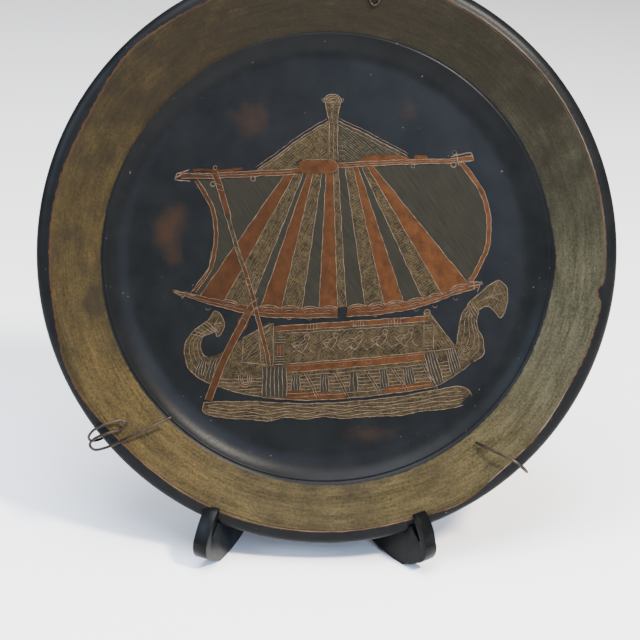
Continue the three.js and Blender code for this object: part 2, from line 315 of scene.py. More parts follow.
def patinated_brass():
    """Spun brass, blackened with a chemical patina that is worn or cut back to khaki brass on the
    rim. The black is satin, and shows copper red where it is thin. The bare rim is dull, with arcs
    of fine scratches, 0.6 mm pits and 9 mm smudges, and painted shade darkens its upper part. The
    real scratches are under 0.1 mm apart and wouldn't show, so they are drawn 0.45 mm apart, with
    long marks 2.2 mm apart over them."""
    material, add = new_material("patinated_brass")
    dish = add("Attribute", {}, "Vector", attribute_name="dish")
    to_edge, to_well, greyed, soil_and_shade, worn, rubbed_and_glint = (
        add("Attribute", {}, "Fac", attribute_name=name)
        for name in ("to_edge", "to_well", "greyed", "soil_and_shade", "worn", "rubbed_and_glint"))
    ragged, grain, cloud, blotch, dust, scratches, long_marks = (
        add("TexNoise", {"Vector": place, "Scale": 1 / size, "Detail": detail, "Roughness": rough})
        for place, size, detail, rough in (
            (dish, 1.6, 5.0, 0.65), (dish, 0.6, 4.0, 0.75), (dish, 9.0, 5.0, 0.6),
            (dish, 3.5, 6.0, 0.7), (dish, 0.9, 2.0, 0.4),
            (around(add, dish, 9.0, 0.45), 1.0, 4.0, 0.6),
            (around(add, dish, 5.0, 2.2), 1.0, 4.0, 0.6)))
    times = partial(add, "Math", operation="MULTIPLY")
    times_plus = partial(add, "Math", operation="MULTIPLY_ADD")

    ragged = add("Math", (ragged, 0.5), operation="SUBTRACT")
    outer, inner = times_plus((ragged, 1.5, to_edge)), times_plus((ragged, 0.9, to_well))
    bare = times((add("MapRange", (outer, -0.12, 0.12)), add("MapRange", (inner, -0.1, 0.15))))

    tone = times_plus((scratches, 0.55, times_plus((long_marks, 0.55, grain))))
    tone = add("MapRange", (tone, 0.82, 1.46))
    khaki, grey = (add("Mix", {0: tone, 6: dark, 7: light}, 2, data_type="RGBA")
                   for dark, light in (("#2a2314", "#554727"), ("#26251b", "#4c4b3b")))
    # Smudges, and the rim's darkening round the plate, partly soil and partly painted shade on its
    # upper part, turn the bare brass dark.
    smudge_and_shade = add("Math", (cloud, soil_and_shade), operation="ADD")
    thin = times_plus((add("Math", (blotch, 0.5), operation="SUBTRACT"), 1.1, worn))
    near_edge, near_outer = (add("Math", (distance,), operation="ABSOLUTE")
                             for distance in (to_edge, outer))
    # A pale line along the lip's corner: partly rubbed-bare metal, partly a painted highlight.
    line = times((rubbed_and_glint, add("MapRange", (near_edge, 0.0, 0.16, 0.7, 0.0))))
    line = times((line, add("MapRange", (long_marks, 0.4, 0.55))))

    brass, face = khaki, "#0c0d0d"
    for share, over in ((greyed, grey),
                        (add("MapRange", (smudge_and_shade, 0.52, 1.15, 0.0, 0.85)), "#1e1b16")):
        brass = add("Mix", {0: share, 6: brass, 7: over}, 2, data_type="RGBA")
    for share, over in ((add("MapRange", (cloud, 0.3, 0.75)), "#131414"),
                        (add("MapRange", (thin, 0.3, 1.25, 0.0, 0.7)), "#2a1c11"),
                        (add("MapRange", (dust, 0.762, 0.782, 0.0, 0.3)), "#77736c"),
                        (bare, brass),
                        (add("MapRange", (near_outer, 0.0, 0.35, 0.55, 0.0)), "#41291a"),
                        (line, "#7d7565")):
        face = add("Mix", {0: share, 6: face, 7: over}, 2, data_type="RGBA")
    rough = add("Mix", {0: bare, 2: add("MapRange", (grain, 0.3, 0.7, 0.27, 0.37)),
                        3: add("MapRange", (tone, 0.0, 1.0, 0.68, 0.56))}, data_type="FLOAT")
    relief = times_plus((scratches, bare, times_plus((grain, 0.35, times((bare, -0.5))))))
    return shaded(material, {
        "Base Color": face, "Metallic": add("MapRange", (bare, 0.0, 1.0, 0.05, 0.72)),
        "Roughness": rough, "Specular IOR Level": 0.05}, relief, 0.00008)


def copper_inlay():
    """Copper, brushed and left to brown: orange-brown satin with 3 mm clouds and dark pits of a
    third of a millimetre, darker towards the left."""
    material, add = new_material("copper_inlay")
    dish = add("Attribute", {}, "Vector", attribute_name="dish")
    cloud = add("TexNoise", {"Vector": dish, "Scale": 1 / 3.2, "Detail": 5.0, "Roughness": 0.65})
    pits = add("TexNoise", {"Vector": dish, "Scale": 1 / 0.34, "Detail": 3.0, "Roughness": 0.6})
    from_left = add("SeparateXYZ", (dish,))
    colour = "#2c190a"
    for share, over in ((add("MapRange", (cloud, 0.32, 0.68)), "#442812"),
                        (add("MapRange", (from_left, -34, 22, 0.55, 0.0)), "#1c110a"),
                        (add("MapRange", (pits, 0.62, 0.7, 0.0, 0.75)), "#150e09")):
        colour = add("Mix", {0: share, 6: colour, 7: over}, 2, data_type="RGBA")
    return shaded(material, {"Base Color": colour, "Metallic": 0.5, "Roughness": 0.48,
                             "Specular IOR Level": 0.08}, pits, 0.00004)


def brass_inlay():
    """Brass, matted with a punch half a millimetre wide and toned: khaki, with dark patina left in
    the punch marks."""
    material, add = new_material("brass_inlay")
    dish = add("Attribute", {}, "Vector", attribute_name="dish")
    cloud = add("TexNoise", {"Vector": dish, "Scale": 1 / 2.6, "Detail": 4.0, "Roughness": 0.6})
    cells = add("TexVoronoi", {"Vector": dish, "Scale": 1 / 0.5, "Randomness": 1.0}, "Distance")
    marks = add("Math", (add("MapRange", (cells, 0.22, 0.5, 1.0, 0.0)), 0.85),
                operation="MULTIPLY")
    colour = "#1a160e"
    for share, over in ((add("MapRange", (cloud, 0.3, 0.7)), "#3b311f"), (marks, "#0c0a06")):
        colour = add("Mix", {0: share, 6: colour, 7: over}, 2, data_type="RGBA")
    return shaded(material, {"Base Color": colour, "Metallic": 0.55, "Roughness": 0.5,
                             "Specular IOR Level": 0.08}, cells, 0.00006)


def olive_patina():
    """Brass under a thin olive-brown patina, brushed before it was toned: dark and flat, with
    faint slanting brush lines. They are drawn 0.4 mm apart, because finer ones wouldn't show."""
    material, add = new_material("olive_patina")
    dish = add("Attribute", {}, "Vector", attribute_name="dish")
    slant = add("Mapping", {"Vector": dish, "Rotation": (0, 0, math.radians(-52)),
                            "Scale": (7.0, 0.38, 1.0)}, vector_type="TEXTURE")
    brush = add("TexNoise", {"Vector": slant, "Scale": 1.0, "Detail": 4.0, "Roughness": 0.6})
    cloud = add("TexNoise", {"Vector": dish, "Scale": 1 / 7.0, "Detail": 3.0, "Roughness": 0.5})
    colour = "#14130d"
    for share, over in ((add("MapRange", (brush, 0.3, 0.7)), "#201e15"),
                        (add("MapRange", (cloud, 0.4, 0.8, 0.0, 0.5)), "#11110b")):
        colour = add("Mix", {0: share, 6: colour, 7: over}, 2, data_type="RGBA")
    return shaded(material, {"Base Color": colour, "Metallic": 0.3, "Roughness": 0.5,
                             "Specular IOR Level": 0.08}, brush, 0.00003)


def bare_thread():
    """Raised thread of brass rubbed bare: the palest metal of the ornament, a little pink, and
    dull over a millimetre or two at a time where the toning is left."""
    return clouded("bare_thread", (1.5, 5.0, 0.7), (0.3, 0.66), "#2b221a", "#675644",
                   {"Metallic": 0.6, "Roughness": 0.42, "Specular IOR Level": 0.15})


def toned_ridge():
    """Fine ridges of the ground's brass between cuts: khaki, a little lighter than the ground."""
    return clouded("toned_ridge", (1.1, 5.0, 0.7), (0.35, 0.68), "#1f190f", "#564a32",
                   {"Metallic": 0.55, "Roughness": 0.46, "Specular IOR Level": 0.1})


def bronze_wire():
    """Drawn bronze spring wire, gone brown: smooth, dark and glossy, and lighter for 4 mm or so
    where it is rubbed."""
    return clouded("bronze_wire", (0.004, 4.0, 0.6), (0.35, 0.7), "#1d1814", "#3e3328",
                   {"Metallic": 0.85, "Roughness": 0.34}, place="Object")


def spring_steel():
    """Coiled steel wire, oiled and dull grey with brown films of rust about 3 mm long."""
    return clouded("spring_steel", (0.003, 5.0, 0.65), (0.45, 0.75), "#807c74", "#5a4433",
                   {"Metallic": 0.9, "Roughness": 0.36}, place="Object")


def black_moulded_plastic():
    """Injection-moulded black polystyrene: smooth satin with faint flow unevenness 6 mm across,
    and dust. The real dust is too fine to show, so its grains are drawn 0.7 mm across."""
    material, add = new_material("black_moulded_plastic")
    place = add("TexCoord", {}, "Object")
    flow = add("TexNoise", {"Vector": place, "Scale": 1 / 0.006, "Detail": 3.0, "Roughness": 0.5})
    dust = add("TexNoise", {"Vector": place, "Scale": 1 / 0.0007, "Detail": 3.0, "Roughness": 0.6})
    colour = add("Mix", {0: add("MapRange", (dust, 0.55, 0.8, 0.0, 0.5)), 6: "#060707",
                         7: "#191816"}, 2, data_type="RGBA")
    return shaded(material, {"Base Color": colour, "Specular IOR Level": 0.08,
                             "Roughness": add("MapRange", (flow, 0.3, 0.7, 0.28, 0.42))},
                  flow, 0.00015, 0.6)


# ---- the plate ---------------------------------------------------------------------------------

PLATE_ORIGIN = np.zeros(3)  # worked out by make_plate, before any other piece
PLATE_TURNS = 288  # points in each ring of the plate
MIDDLE_RADIUS = 0.6  # of the small disc that closes each side
CREASE_ROUND = 0.7  # how far the crease's rounding runs to each side
GROOVE_DEPTH, GROOVE_WIDTH = 0.16, 0.12  # of the scored ring before the lip
RIM_WAVE = 0.06  # how far the rim rises and falls on its way round
RIM_SINK = 0.1  # how far the rim is let down for its waves


def rim_height(radius):
    """Height of the rim's face at a radius."""
    return WELL_DEPTH + RIM_RISE * (radius - CREASE_RADIUS) / (LIP_RADIUS - CREASE_RADIUS)


def rounded_profile():
    """The face's (radius, height) from the middle to the end of the lip: flat floor, wide cove,
    short wall, a rounded crease, the sloping rim, a scored ring before the lip, and the lip as a
    quarter of an ellipse."""
    floor = np.column_stack([np.linspace(MIDDLE_RADIUS, FLOOR_RADIUS, 26), np.zeros(26)])
    turn = np.linspace(0, WALL_SLOPE, 13)[1:]
    cove = np.column_stack([FLOOR_RADIUS + COVE_RADIUS * np.sin(turn),
                            COVE_RADIUS * (1 - np.cos(turn))])
    rim_slope = math.atan(RIM_RISE / (LIP_RADIUS - CREASE_RADIUS))
    t = np.linspace(0, 1, 7)[:, None]
    corner = np.array([CREASE_RADIUS, WELL_DEPTH])
    below = corner - CREASE_ROUND * np.array([math.cos(WALL_SLOPE), math.sin(WALL_SLOPE)])
    above = corner + CREASE_ROUND * np.array([math.cos(rim_slope), math.sin(rim_slope)])
    crease = (1 - t) ** 2 * below + 2 * t * (1 - t) * corner + t ** 2 * above
    radii = np.concatenate([np.linspace(above[0] + 0.6, LIP_RADIUS - 0.5, 22),
                            LIP_RADIUS + np.array([-0.25, -0.14, 0.0, 0.14, 0.25])])
    groove = GROOVE_DEPTH * np.exp(-((radii - LIP_RADIUS) / GROOVE_WIDTH) ** 2)
    rim = np.column_stack([radii, rim_height(radii) - groove])
    turn = np.linspace(math.radians(9), math.pi / 2, 13)
    lip = np.column_stack([LIP_RADIUS + LIP_WIDTH * np.sin(turn),
                           WELL_DEPTH + RIM_RISE - LIP_DROP * (1 - np.cos(turn))])
    return np.concatenate([floor, cove, crease, rim, lip])


def back_profile(face):
    """The back's (radius, height): the face's outline moved a sheet's thickness along its normal,
    from the lip inwards."""
    keep = face[::2]
    along = directions(keep)
    back = keep + SHEET * np.stack([along[:, 1], -along[:, 0]], -1)
    back[:, 0] = np.minimum(back[:, 0], PLATE_RADIUS)
    return back[back[:, 0] > 0.5][::-1]


def shape_bumps(angle, bumps):
    """Sum of bell curves round the plate, each (degrees clockwise from the top, half width in
    degrees, height)."""
    degrees = np.degrees(angle)
    total = np.zeros_like(degrees)
    for middle, half, height in bumps:
        gap = (degrees - middle + 180) % 360 - 180
        total += height * np.exp(-(gap / half) ** 2)
    return total


# Where the bare brass reaches further out over the lip (+) or stops short of it (-), in mm.
LIP_WEAR = [(150, 7, 1.6), (243, 11, 1.8), (314, 9, 1.2), (95.5, 1.3, -1.6), (117, 7, -0.5),
            (297, 12, -0.6), (45, 25, 0.25), (200, 12, 0.3)]
# Where the patina comes out of the well onto the rim (+), in mm.
WELL_WEAR = [(90, 8, 0.7), (12, 26, -0.3), (312, 34, -0.8), (160, 34, 0.4)]
# Darkening of the bare rim round the plate, partly soil and partly painted shade, most on its upper
# part: more is darker.
RIM_SOIL_AND_SHADE = [(15, 34, 0.50), (48, 22, 0.44), (76, 16, 0.30), (345, 30, 0.38), (310, 26, 0.46),
            (283, 20, 0.28), (255, 18, 0.32), (200, 40, 0.34), (165, 24, 0.16)]
# A brown spot on the bare rim: (x, y, half width, half height), and its strength.
RIM_SPOT, SPOT_STRENGTH = (-60.6, -13.6, 1.9, 2.4), 1.9
# Where the bare rim is greyer than elsewhere, and where the lip's corner has a pale line, partly
# rubbed bare and partly a painted highlight.
RIM_GREY = [(60, 50, 0.85), (115, 30, 0.55), (0, 30, 0.35), (180, 30, 0.3)]
LIP_RUBBED_AND_GLINT = [(40, 22, 0.7), (70, 12, 0.7), (132, 14, 0.9), (170, 25, 0.35), (220, 20, 0.25)]
# Thin places in the floor's patina: (x, y, half width, half height, strength).
FLOOR_WEAR = [(-43.8, 5.0, 3.4, 4.6, 1.0), (-40.2, 9.6, 3.0, 4.0, 0.9),
              (-41.0, -1.0, 2.8, 5.5, 0.7), (-21.5, 35.0, 6.0, 6.0, 0.85),
              (20.0, 39.0, 4.5, 4.0, 0.6), (12.0, -47.5, 8.0, 2.6, 0.8),
              (-36.0, -14.0, 5.0, 3.5, 0.35), (36.0, -37.0, 5.0, 4.0, 0.3)]

NOT_BARE = -3.0  # distance to either edge of the bare brass, on the back
# Radius in the bake's map of the face's disc and the back's, and how far in the back's lies.
FACE_MAP, BACK_MAP, BACK_MAP_PLACE = 0.485, 0.08, 0.09


def blot(points, x, y, wide, high):
    """Bell curve over the plate's face round (x, y), with that half width and half height."""
    return np.exp(-((points[:, 0] - x) / wide) ** 2 - ((points[:, 1] - y) / high) ** 2)


def make_plate():
    """Face and back profiles turned round the plate's axis, joined at the lip, with a small disc
    closing the middle of each. The well moves by WELL_SHIFT, fading over the rim."""
    global PLATE_ORIGIN
    turns = PLATE_TURNS
    face = rounded_profile()
    profile = np.concatenate([face, back_profile(face)])
    angle = np.linspace(0, 2 * math.pi, turns, endpoint=False)
    radius = profile[:, 0][:, None] * np.ones(turns)
    points = np.stack([radius * np.sin(angle), radius * np.cos(angle),
                       profile[:, 1][:, None] * np.ones(turns)], -1)
    share = 1 - np.clip((radius - CREASE_RADIUS) / (LIP_RADIUS - CREASE_RADIUS), 0, 1)
    points[..., :2] += share[..., None] * WELL_SHIFT
    rim_share = np.clip((radius - CREASE_RADIUS) / 6, 0, 1)
    points[..., 2] += rim_share * (
        RIM_WAVE * (np.sin(5 * angle + 1) + np.sin(9 * angle)) - RIM_SINK)
    rows = len(profile)
    flat = points.reshape(-1, 3)
    middle = np.array([[*WELL_SHIFT, 0.0], [*WELL_SHIFT, -SHEET]])
    flat = np.concatenate([flat, middle])
    faces = grid_faces(rows, turns, closed=True)
    faces = [quad[::-1] for quad in faces]
    ring = np.arange(turns)
    top, under = rows * turns, rows * turns + 1
    faces += np.stack([np.full(turns, top), np.roll(ring, -1), ring], -1).tolist()
    last = (rows - 1) * turns + ring
    faces += np.stack([np.full(turns, under), last, np.roll(last, -1)], -1).tolist()

    metres = turned(flat)
    PLATE_ORIGIN = centre_of(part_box("plate")) - (metres.min(0) + metres.max(0)) / 2

    r = np.hypot(flat[:, 0], flat[:, 1])
    phi = np.arctan2(flat[:, 0], flat[:, 1])
    in_well = np.hypot(flat[:, 0] - WELL_SHIFT[0], flat[:, 1] - WELL_SHIFT[1])
    front = np.concatenate([np.repeat(np.arange(rows) < len(face), turns), [True, False]])
    to_edge = LIP_RADIUS + 0.1 + shape_bumps(phi, LIP_WEAR) - r
    to_well = in_well - CREASE_RADIUS - 0.25 - shape_bumps(phi, WELL_WEAR)
    worn = sum(strength * blot(flat, *place) for *place, strength in FLOOR_WEAR) * front
    extra = {"to_edge": np.where(front, to_edge, NOT_BARE),
             "to_well": np.where(front, to_well, NOT_BARE), "worn": worn,
             # Darkening round the rim, partly soil and partly painted shade, and a brown stain.
             "soil_and_shade": shape_bumps(phi, RIM_SOIL_AND_SHADE) + SPOT_STRENGTH * blot(flat, *RIM_SPOT),
             "greyed": np.clip(shape_bumps(phi, RIM_GREY), 0, 1),
             # The lip's pale line: partly rubbed bare, partly a painted highlight.
             "rubbed_and_glint": np.clip(shape_bumps(phi, LIP_RUBBED_AND_GLINT), 0, 1)}
    plate = new_piece("plate_body", flat, faces, patinated_brass(), "patinated_metal",
                      replaces=["plate"], smooth=True, extra=extra)

    # The bake's own map: the face unrolled by its outline's length into one large disc, and the
    # back into a small one in a corner.
    step = np.concatenate([[profile[0, 0]], np.hypot(*np.diff(profile, axis=0).T)])
    run = np.cumsum(step)
    split = len(face)
    to_middle = run[-1] + profile[-1, 0] - run
    back_scale = BACK_MAP / (to_middle[split] + 0.5)
    face_rows = np.arange(rows) <= split
    uv_radius = np.where(face_rows, run * FACE_MAP / run[split], to_middle * back_scale)
    uv_centre = np.where(face_rows[:, None], [0.5, 0.5], [BACK_MAP_PLACE, BACK_MAP_PLACE])
    direction = np.stack([np.sin(angle), np.cos(angle)], -1)
    uv = (uv_centre[:, None, :] + uv_radius[:, None, None] * direction).reshape(-1, 2)
    uv = np.concatenate([uv, [[0.5, 0.5], [BACK_MAP_PLACE, BACK_MAP_PLACE]]])
    layer = plate.data.uv_layers.new(name="OFBake")
    corner = np.empty(len(plate.data.loops), np.int32)
    plate.data.loops.foreach_get("vertex_index", corner)
    values = uv[corner]
    seam_quads = slice(4 * (split * turns), 4 * ((split + 1) * turns))
    seam_start = uv_centre[split + 1] + to_middle[split] * back_scale * direction
    seam = values[seam_quads].reshape(-1, 4, 2)
    seam_corner = corner[seam_quads].reshape(-1, 4)
    on_front = seam_corner // turns == split
    seam[on_front] = seam_start[seam_corner[on_front] % turns]
    values[seam_quads] = seam.reshape(-1, 2)
    layer.data.foreach_set("uv", values.astype(np.float32).ravel())


# ---- the ship ----------------------------------------------------------------------------------

# Heights over the floor, from the lowest metal to the one that lies over the rest.
FIELD_BASE = -0.06  # every inlay starts just inside the floor
GROUND_TOP = 0.05  # the hull's ground
FIELD_TOP = 0.06
PATCH_TOP = 0.09  # a patch on the hull
HATCH_TOP = 0.1  # the ridges between fine cuts
UPPER_TOP = 0.12  # an inlay that lies over another
PLANK_TOP = 0.13  # a thread along a plank
LOW_TOP = 0.15  # a thread that others cross
THREAD_TOP = 0.17
ROWER_TOP = 0.19
OVER_TOP = 0.2  # a thread on an upper inlay, or an inlay over that
CROSS_TOP = 0.27  # a thread that crosses others
# Widths of threads: at a spar's tip, round a field, within it, and between two.
TIP, THREAD, FINE, FAINT = 0.42, 0.29, 0.19, 0.16
# How far a thread wavers: cut fast, freely, with care, or round a guide.
LOOSE, SHAKE, STEADY, GUIDED = 0.09, 0.06, 0.03, 0.02

copper, brass, olive, threads, hatching = [], [], [], [], []


def field(kind, outline, top=FIELD_TOP):
    """An inlay of that metal with the outline."""
    kind.append((np.array(outline, float), FIELD_BASE, top))


def thread(points, width=THREAD, top=THREAD_TOP, shake=SHAKE):
    """A raised thread along the points."""
    points = np.array(points, float)
    if len(points) == 2:
        points = straight(points[0], points[1], 2 + int(np.hypot(*(points[1] - points[0])) / 1.5))
    threads.append((hand(points, shake), width, 0.0, top))


def over(points, width=THREAD, shake=SHAKE):
    """A raised thread on an upper inlay."""
    thread(points, width, OVER_TOP, shake)


def hatch(outline, angle, spacing, seed, width=FAINT, ragged=0.25):
    """Fine parallel cuts that leave ridges of the ground's own brass inside an outline."""
    for cut in ruled(outline, angle, spacing, seed, ragged):
        line = straight(cut[0], cut[1], 2 + int(np.hypot(*(cut[1] - cut[0])) / 1.2))
        hatching.append((hand(line, 0.05), width, 0.0, HATCH_TOP))


def ringlet(centre, radius, width=FINE, top=OVER_TOP):
    """A small closed ring of thread."""
    thread(arc(centre, radius, 0, 360, 13), width, top, GUIDED)


def yard_line(x):
    """Height of the sail's head under the yard: two straight runs, higher right of the mast."""
    return np.where(x < 1.3, np.interp(x, [-36, -12, -8, 1.3], [18.9, 20.9, 21.8, 22.0]),
                    np.interp(x, [1.3, 33.5], [23.3, 25.6]))


SAIL_FOOT = path([(-36.0, -11.1), (-27.4, -12.7), (-19.4, -13.9), (-6.7, -14.0), (5.3, -13.4),
                  (15.2, -12.3), (25.6, -10.6), (32.0, -8.6), (38.5, -5.8)])


def foot_line(x):
    """Height of the sail's foot on the boom."""
    return np.interp(x, SAIL_FOOT[:, 0], SAIL_FOOT[:, 1])


SAIL_LEFT = path([(-35.6, 18.8), (-31.8, 13.1), (-30.2, 7.6), (-30.1, 2.2), (-31.1, -3.6),
                  (-35.4, -10.6)])
SAIL_RIGHT = path([(34.3, 25.7), (38.2, 21.3), (41.2, 16.1), (42.5, 10.0), (42.3, 3.6),
                   (39.9, -2.4), (38.2, -5.5)])

# The sail's stripes from left to right: where each border starts under the yard and where it ends
# on the boom, and what lies between it and the next.
STRIPES = [(-12.6, -33.8, copper), (-9.7, -27.4, brass), (-7.4, -20.4, olive),
           (-6.4, -17.7, copper), (-4.9, -12.2, brass), (-2.6, -6.7, olive),
           (-1.5, -2.2, copper), (0.4, 2.8, brass), (1.7, 5.1, olive), (3.5, 10.1, brass),
           (5.6, 15.2, copper), (6.9, 20.4, olive), (7.8, 25.5, brass), (9.4, 30.6, copper),
           (11.0, 37.6, None)]


def make_sail():
    """Olive sails at both sides, and a fan of copper, brass and olive stripes between them."""
    left, right = STRIPES[0], STRIPES[-1]
    top_left = np.array([left[0], yard_line(left[0])])
    top_right = np.array([right[0], yard_line(right[0])])
    foot = SAIL_FOOT[(SAIL_FOOT[:, 0] > -35.2) & (SAIL_FOOT[:, 0] < left[1])]
    field(olive, [*SAIL_LEFT[::-1], top_left, (left[1], foot_line(left[1])), *foot[::-1]])
    field(olive, [*SAIL_RIGHT[::-1], top_right, (right[1], foot_line(right[1]))])
    for (x0, x1, kind), (x2, x3, _) in zip(STRIPES[:-1], STRIPES[1:]):
        foot_x = np.linspace(x1, x3, 6)
        outline = [(x0, yard_line(x0)), *zip(foot_x, foot_line(foot_x)), (x2, yard_line(x2))]
        field(kind, outline)
        if kind is brass:
            hatch(outline, 62 if x1 < 8 else 38, 0.62, int(10 * x3 + 500))
    for index, (x0, x1, _) in enumerate(STRIPES):
        line = straight((x0, float(yard_line(x0))), (x1, float(foot_line(x1))), 20)
        thread(line, THREAD if index % 3 else THREAD - 0.01)
    for edge, width in ((SAIL_LEFT, 1.0), (SAIL_RIGHT, 1.15)):
        field(copper, band(edge, width), UPPER_TOP)
        for side in (width / 2, -width / 2):
            over(beside(edge, side))
    thread(path([(-31.0, 0.5), (-31.9, -4.6), (-34.0, -8.6), (-36.6, -11.0)]), FINE)


def make_yard():
    """Copper spars with thread outlines, the block where they meet, tips, knots and rings."""
    left_top = path([(-40.2, 20.4), (-30, 20.9), (-20, 21.8), (-8.2, 22.7)])
    left_low = path([(-39.6, 19.2), (-30, 19.6), (-20, 20.4), (-9.0, 21.3)])
    field(copper, [*left_top, *left_low[::-1]], UPPER_TOP)
    for edge in (left_top, left_low):
        over(edge)
    over(path([(-37.6, 20.4), (-30, 20.3), (-20, 21.1), (-10, 21.9)]), FINE)
    field(copper, band(path([(-36.5, 21.3), (-34.5, 21.6), (-29, 21.5), (-23.4, 22.3)]), 0.7),
          UPPER_TOP)
    for a, b in (((-41.2, 18.8), (-37.3, 18.5)), ((-41.0, 19.2), (-39.0, 20.6)),
                 ((-40.6, 20.4), (-37.5, 21.4)), ((-41.3, 18.7), (-40.6, 20.4))):
        over([a, b], TIP)
    block = path([(-8.7, 22.1), (-8.6, 24.4), (-7.2, 25.1), (-3, 25.3), (0.2, 25.3), (1.4, 24.3),
                  (1.4, 22.9), (0.2, 22.0), (-4, 21.7), (-8.0, 21.7)], 4)
    field(copper, block, OVER_TOP)
    thread(block[6:30], FINE, CROSS_TOP)
    right_top = path([(1.6, 24.6), (12, 25.5), (22, 26.2), (31.9, 26.8), (37.2, 27.8)])
    right_low = path([(1.6, 23.4), (12, 24.3), (22, 25.1), (31.9, 25.7), (37.4, 26.6)])
    field(copper, [*right_top, *right_low[::-1]], UPPER_TOP)
    for edge in (right_top, right_low):
        over(edge)
    over(path([(3, 24.1), (12, 24.9), (22, 25.6), (33, 26.4)]), FINE)
    field(copper, [(6.6, 25.0), (8.6, 26.5), (11.0, 27.1), (17.5, 27.2), (20.0, 26.8), (21, 26.1),
                   (12, 25.4)], UPPER_TOP)
    field(copper, [(21.6, 26.2), (22.0, 27.4), (25.0, 27.4), (25.6, 26.5)], UPPER_TOP)
    for a, b in (((31.5, 27.3), (37.0, 28.6)), ((37.0, 28.6), (37.6, 26.5)),
                 ((33.4, 25.6), (37.6, 26.5)), ((32.9, 28.6), (33.6, 25.0))):
        over([a, b], TIP)
    for x, y, radius, width in ((32.4, 28.4, 0.55, FINE), (32.3, 25.2, 0.7, 0.3),
                                (21.5, 24.5, 0.5, FINE), (-20.7, 19.7, 0.62, 0.3),
                                (-31.2, 18.0, 0.62, 0.3), (-30.7, 22.3, 0.5, FINE)):
        ringlet((x, y), radius, width)


def make_mast():
    """The mast's head with its domed capital, and the hatched triangles between its stays."""
    left_stay = [(-19.6, 22.1), (-5.1, 33.2), (-1.3, 35.4)]
    right_stay = [(1.3, 35.6), (10.5, 31.6), (19.8, 27.1)]
    left_sheet = [*left_stay, (-0.7, 25.3), (-8.5, 25.0), (-8.7, 22.4)]
    right_sheet = [(1.6, 24.7), *right_stay, (11.0, 27.0), (6.4, 25.1)]
    field(brass, left_sheet)
    field(olive, right_sheet)
    hatch(left_sheet, 42, 0.55, 3)
    hatch(right_sheet, -38, 0.55, 4, 0.2)
    for stay in (left_stay, right_stay):
        line = path(stay, 10)
        thread(line)
        for side in (0.75, -0.6) if stay is left_stay else (0.7, -0.9):
            thread(beside(line, side), FINE)
    mast = [(-0.8, 25.2), (-1.2, 35.9), (1.1, 35.9), (1.5, 25.2)]
    field(brass, mast, UPPER_TOP)
    for edge in (mast[:2], mast[:1:-1]):
        over(edge)
    over([(0.3, 25.6), (0.1, 35.0)], FINE)
    for y in np.arange(26.2, 35.5, 1.3):
        over([(-0.7, y), (0.1, y - 0.4)], FAINT)
    shaft = [(-2.3, 40.4), (-1.9, 38.2), (-1.2, 35.9), (1.1, 35.9), (1.4, 38.4), (1.6, 40.5)]
    field(brass, shaft, UPPER_TOP)
    for edge in (shaft[:3], shaft[3:]):
        over(path(edge))
    for y in (36.4, 37.1, 37.9, 38.7, 39.5):
        ringlet((-0.4, y), 0.3, FAINT)
    field(brass, [*arc((-0.4, 40.6), 2.4, 0, 180, 13, 0.78), (-2.8, 40.3), (2.0, 40.3)],
          UPPER_TOP)
    for size in (2.4, 1.8, 1.1):
        over(arc((-0.4, 40.6), size, 0, 180, 13, 0.78), 0.26, STEADY)
    over([(-2.9, 40.3), (2.1, 40.5)])
    for end in ((-2.9, 40.9), (2.1, 41.1)):
        ringlet(end, 0.35)
    for bracket in ([(1.6, 30.3), (3.3, 30.1), (3.3, 28.9)],
                    [(1.7, 29.2), (2.6, 29.1), (2.6, 27.8)],
                    [(1.7, 28.0), (3.5, 27.8)], [(1.8, 26.6), (3.0, 26.6), (3.1, 25.6)]):
        thread(bracket, FINE)


# Each scallop of the sail's foot: where it starts and ends along the boom.
SCALLOPS = [(-28.1, -23.4), (-17.9, -12.8), (-12.3, -7.4), (-6.8, -2.4), (-1.6, 2.7), (5.5, 10.2),
            (10.9, 15.5), (15.8, 20.5), (21.3, 25.9), (26.3, 31.0), (31.7, 37.2)]


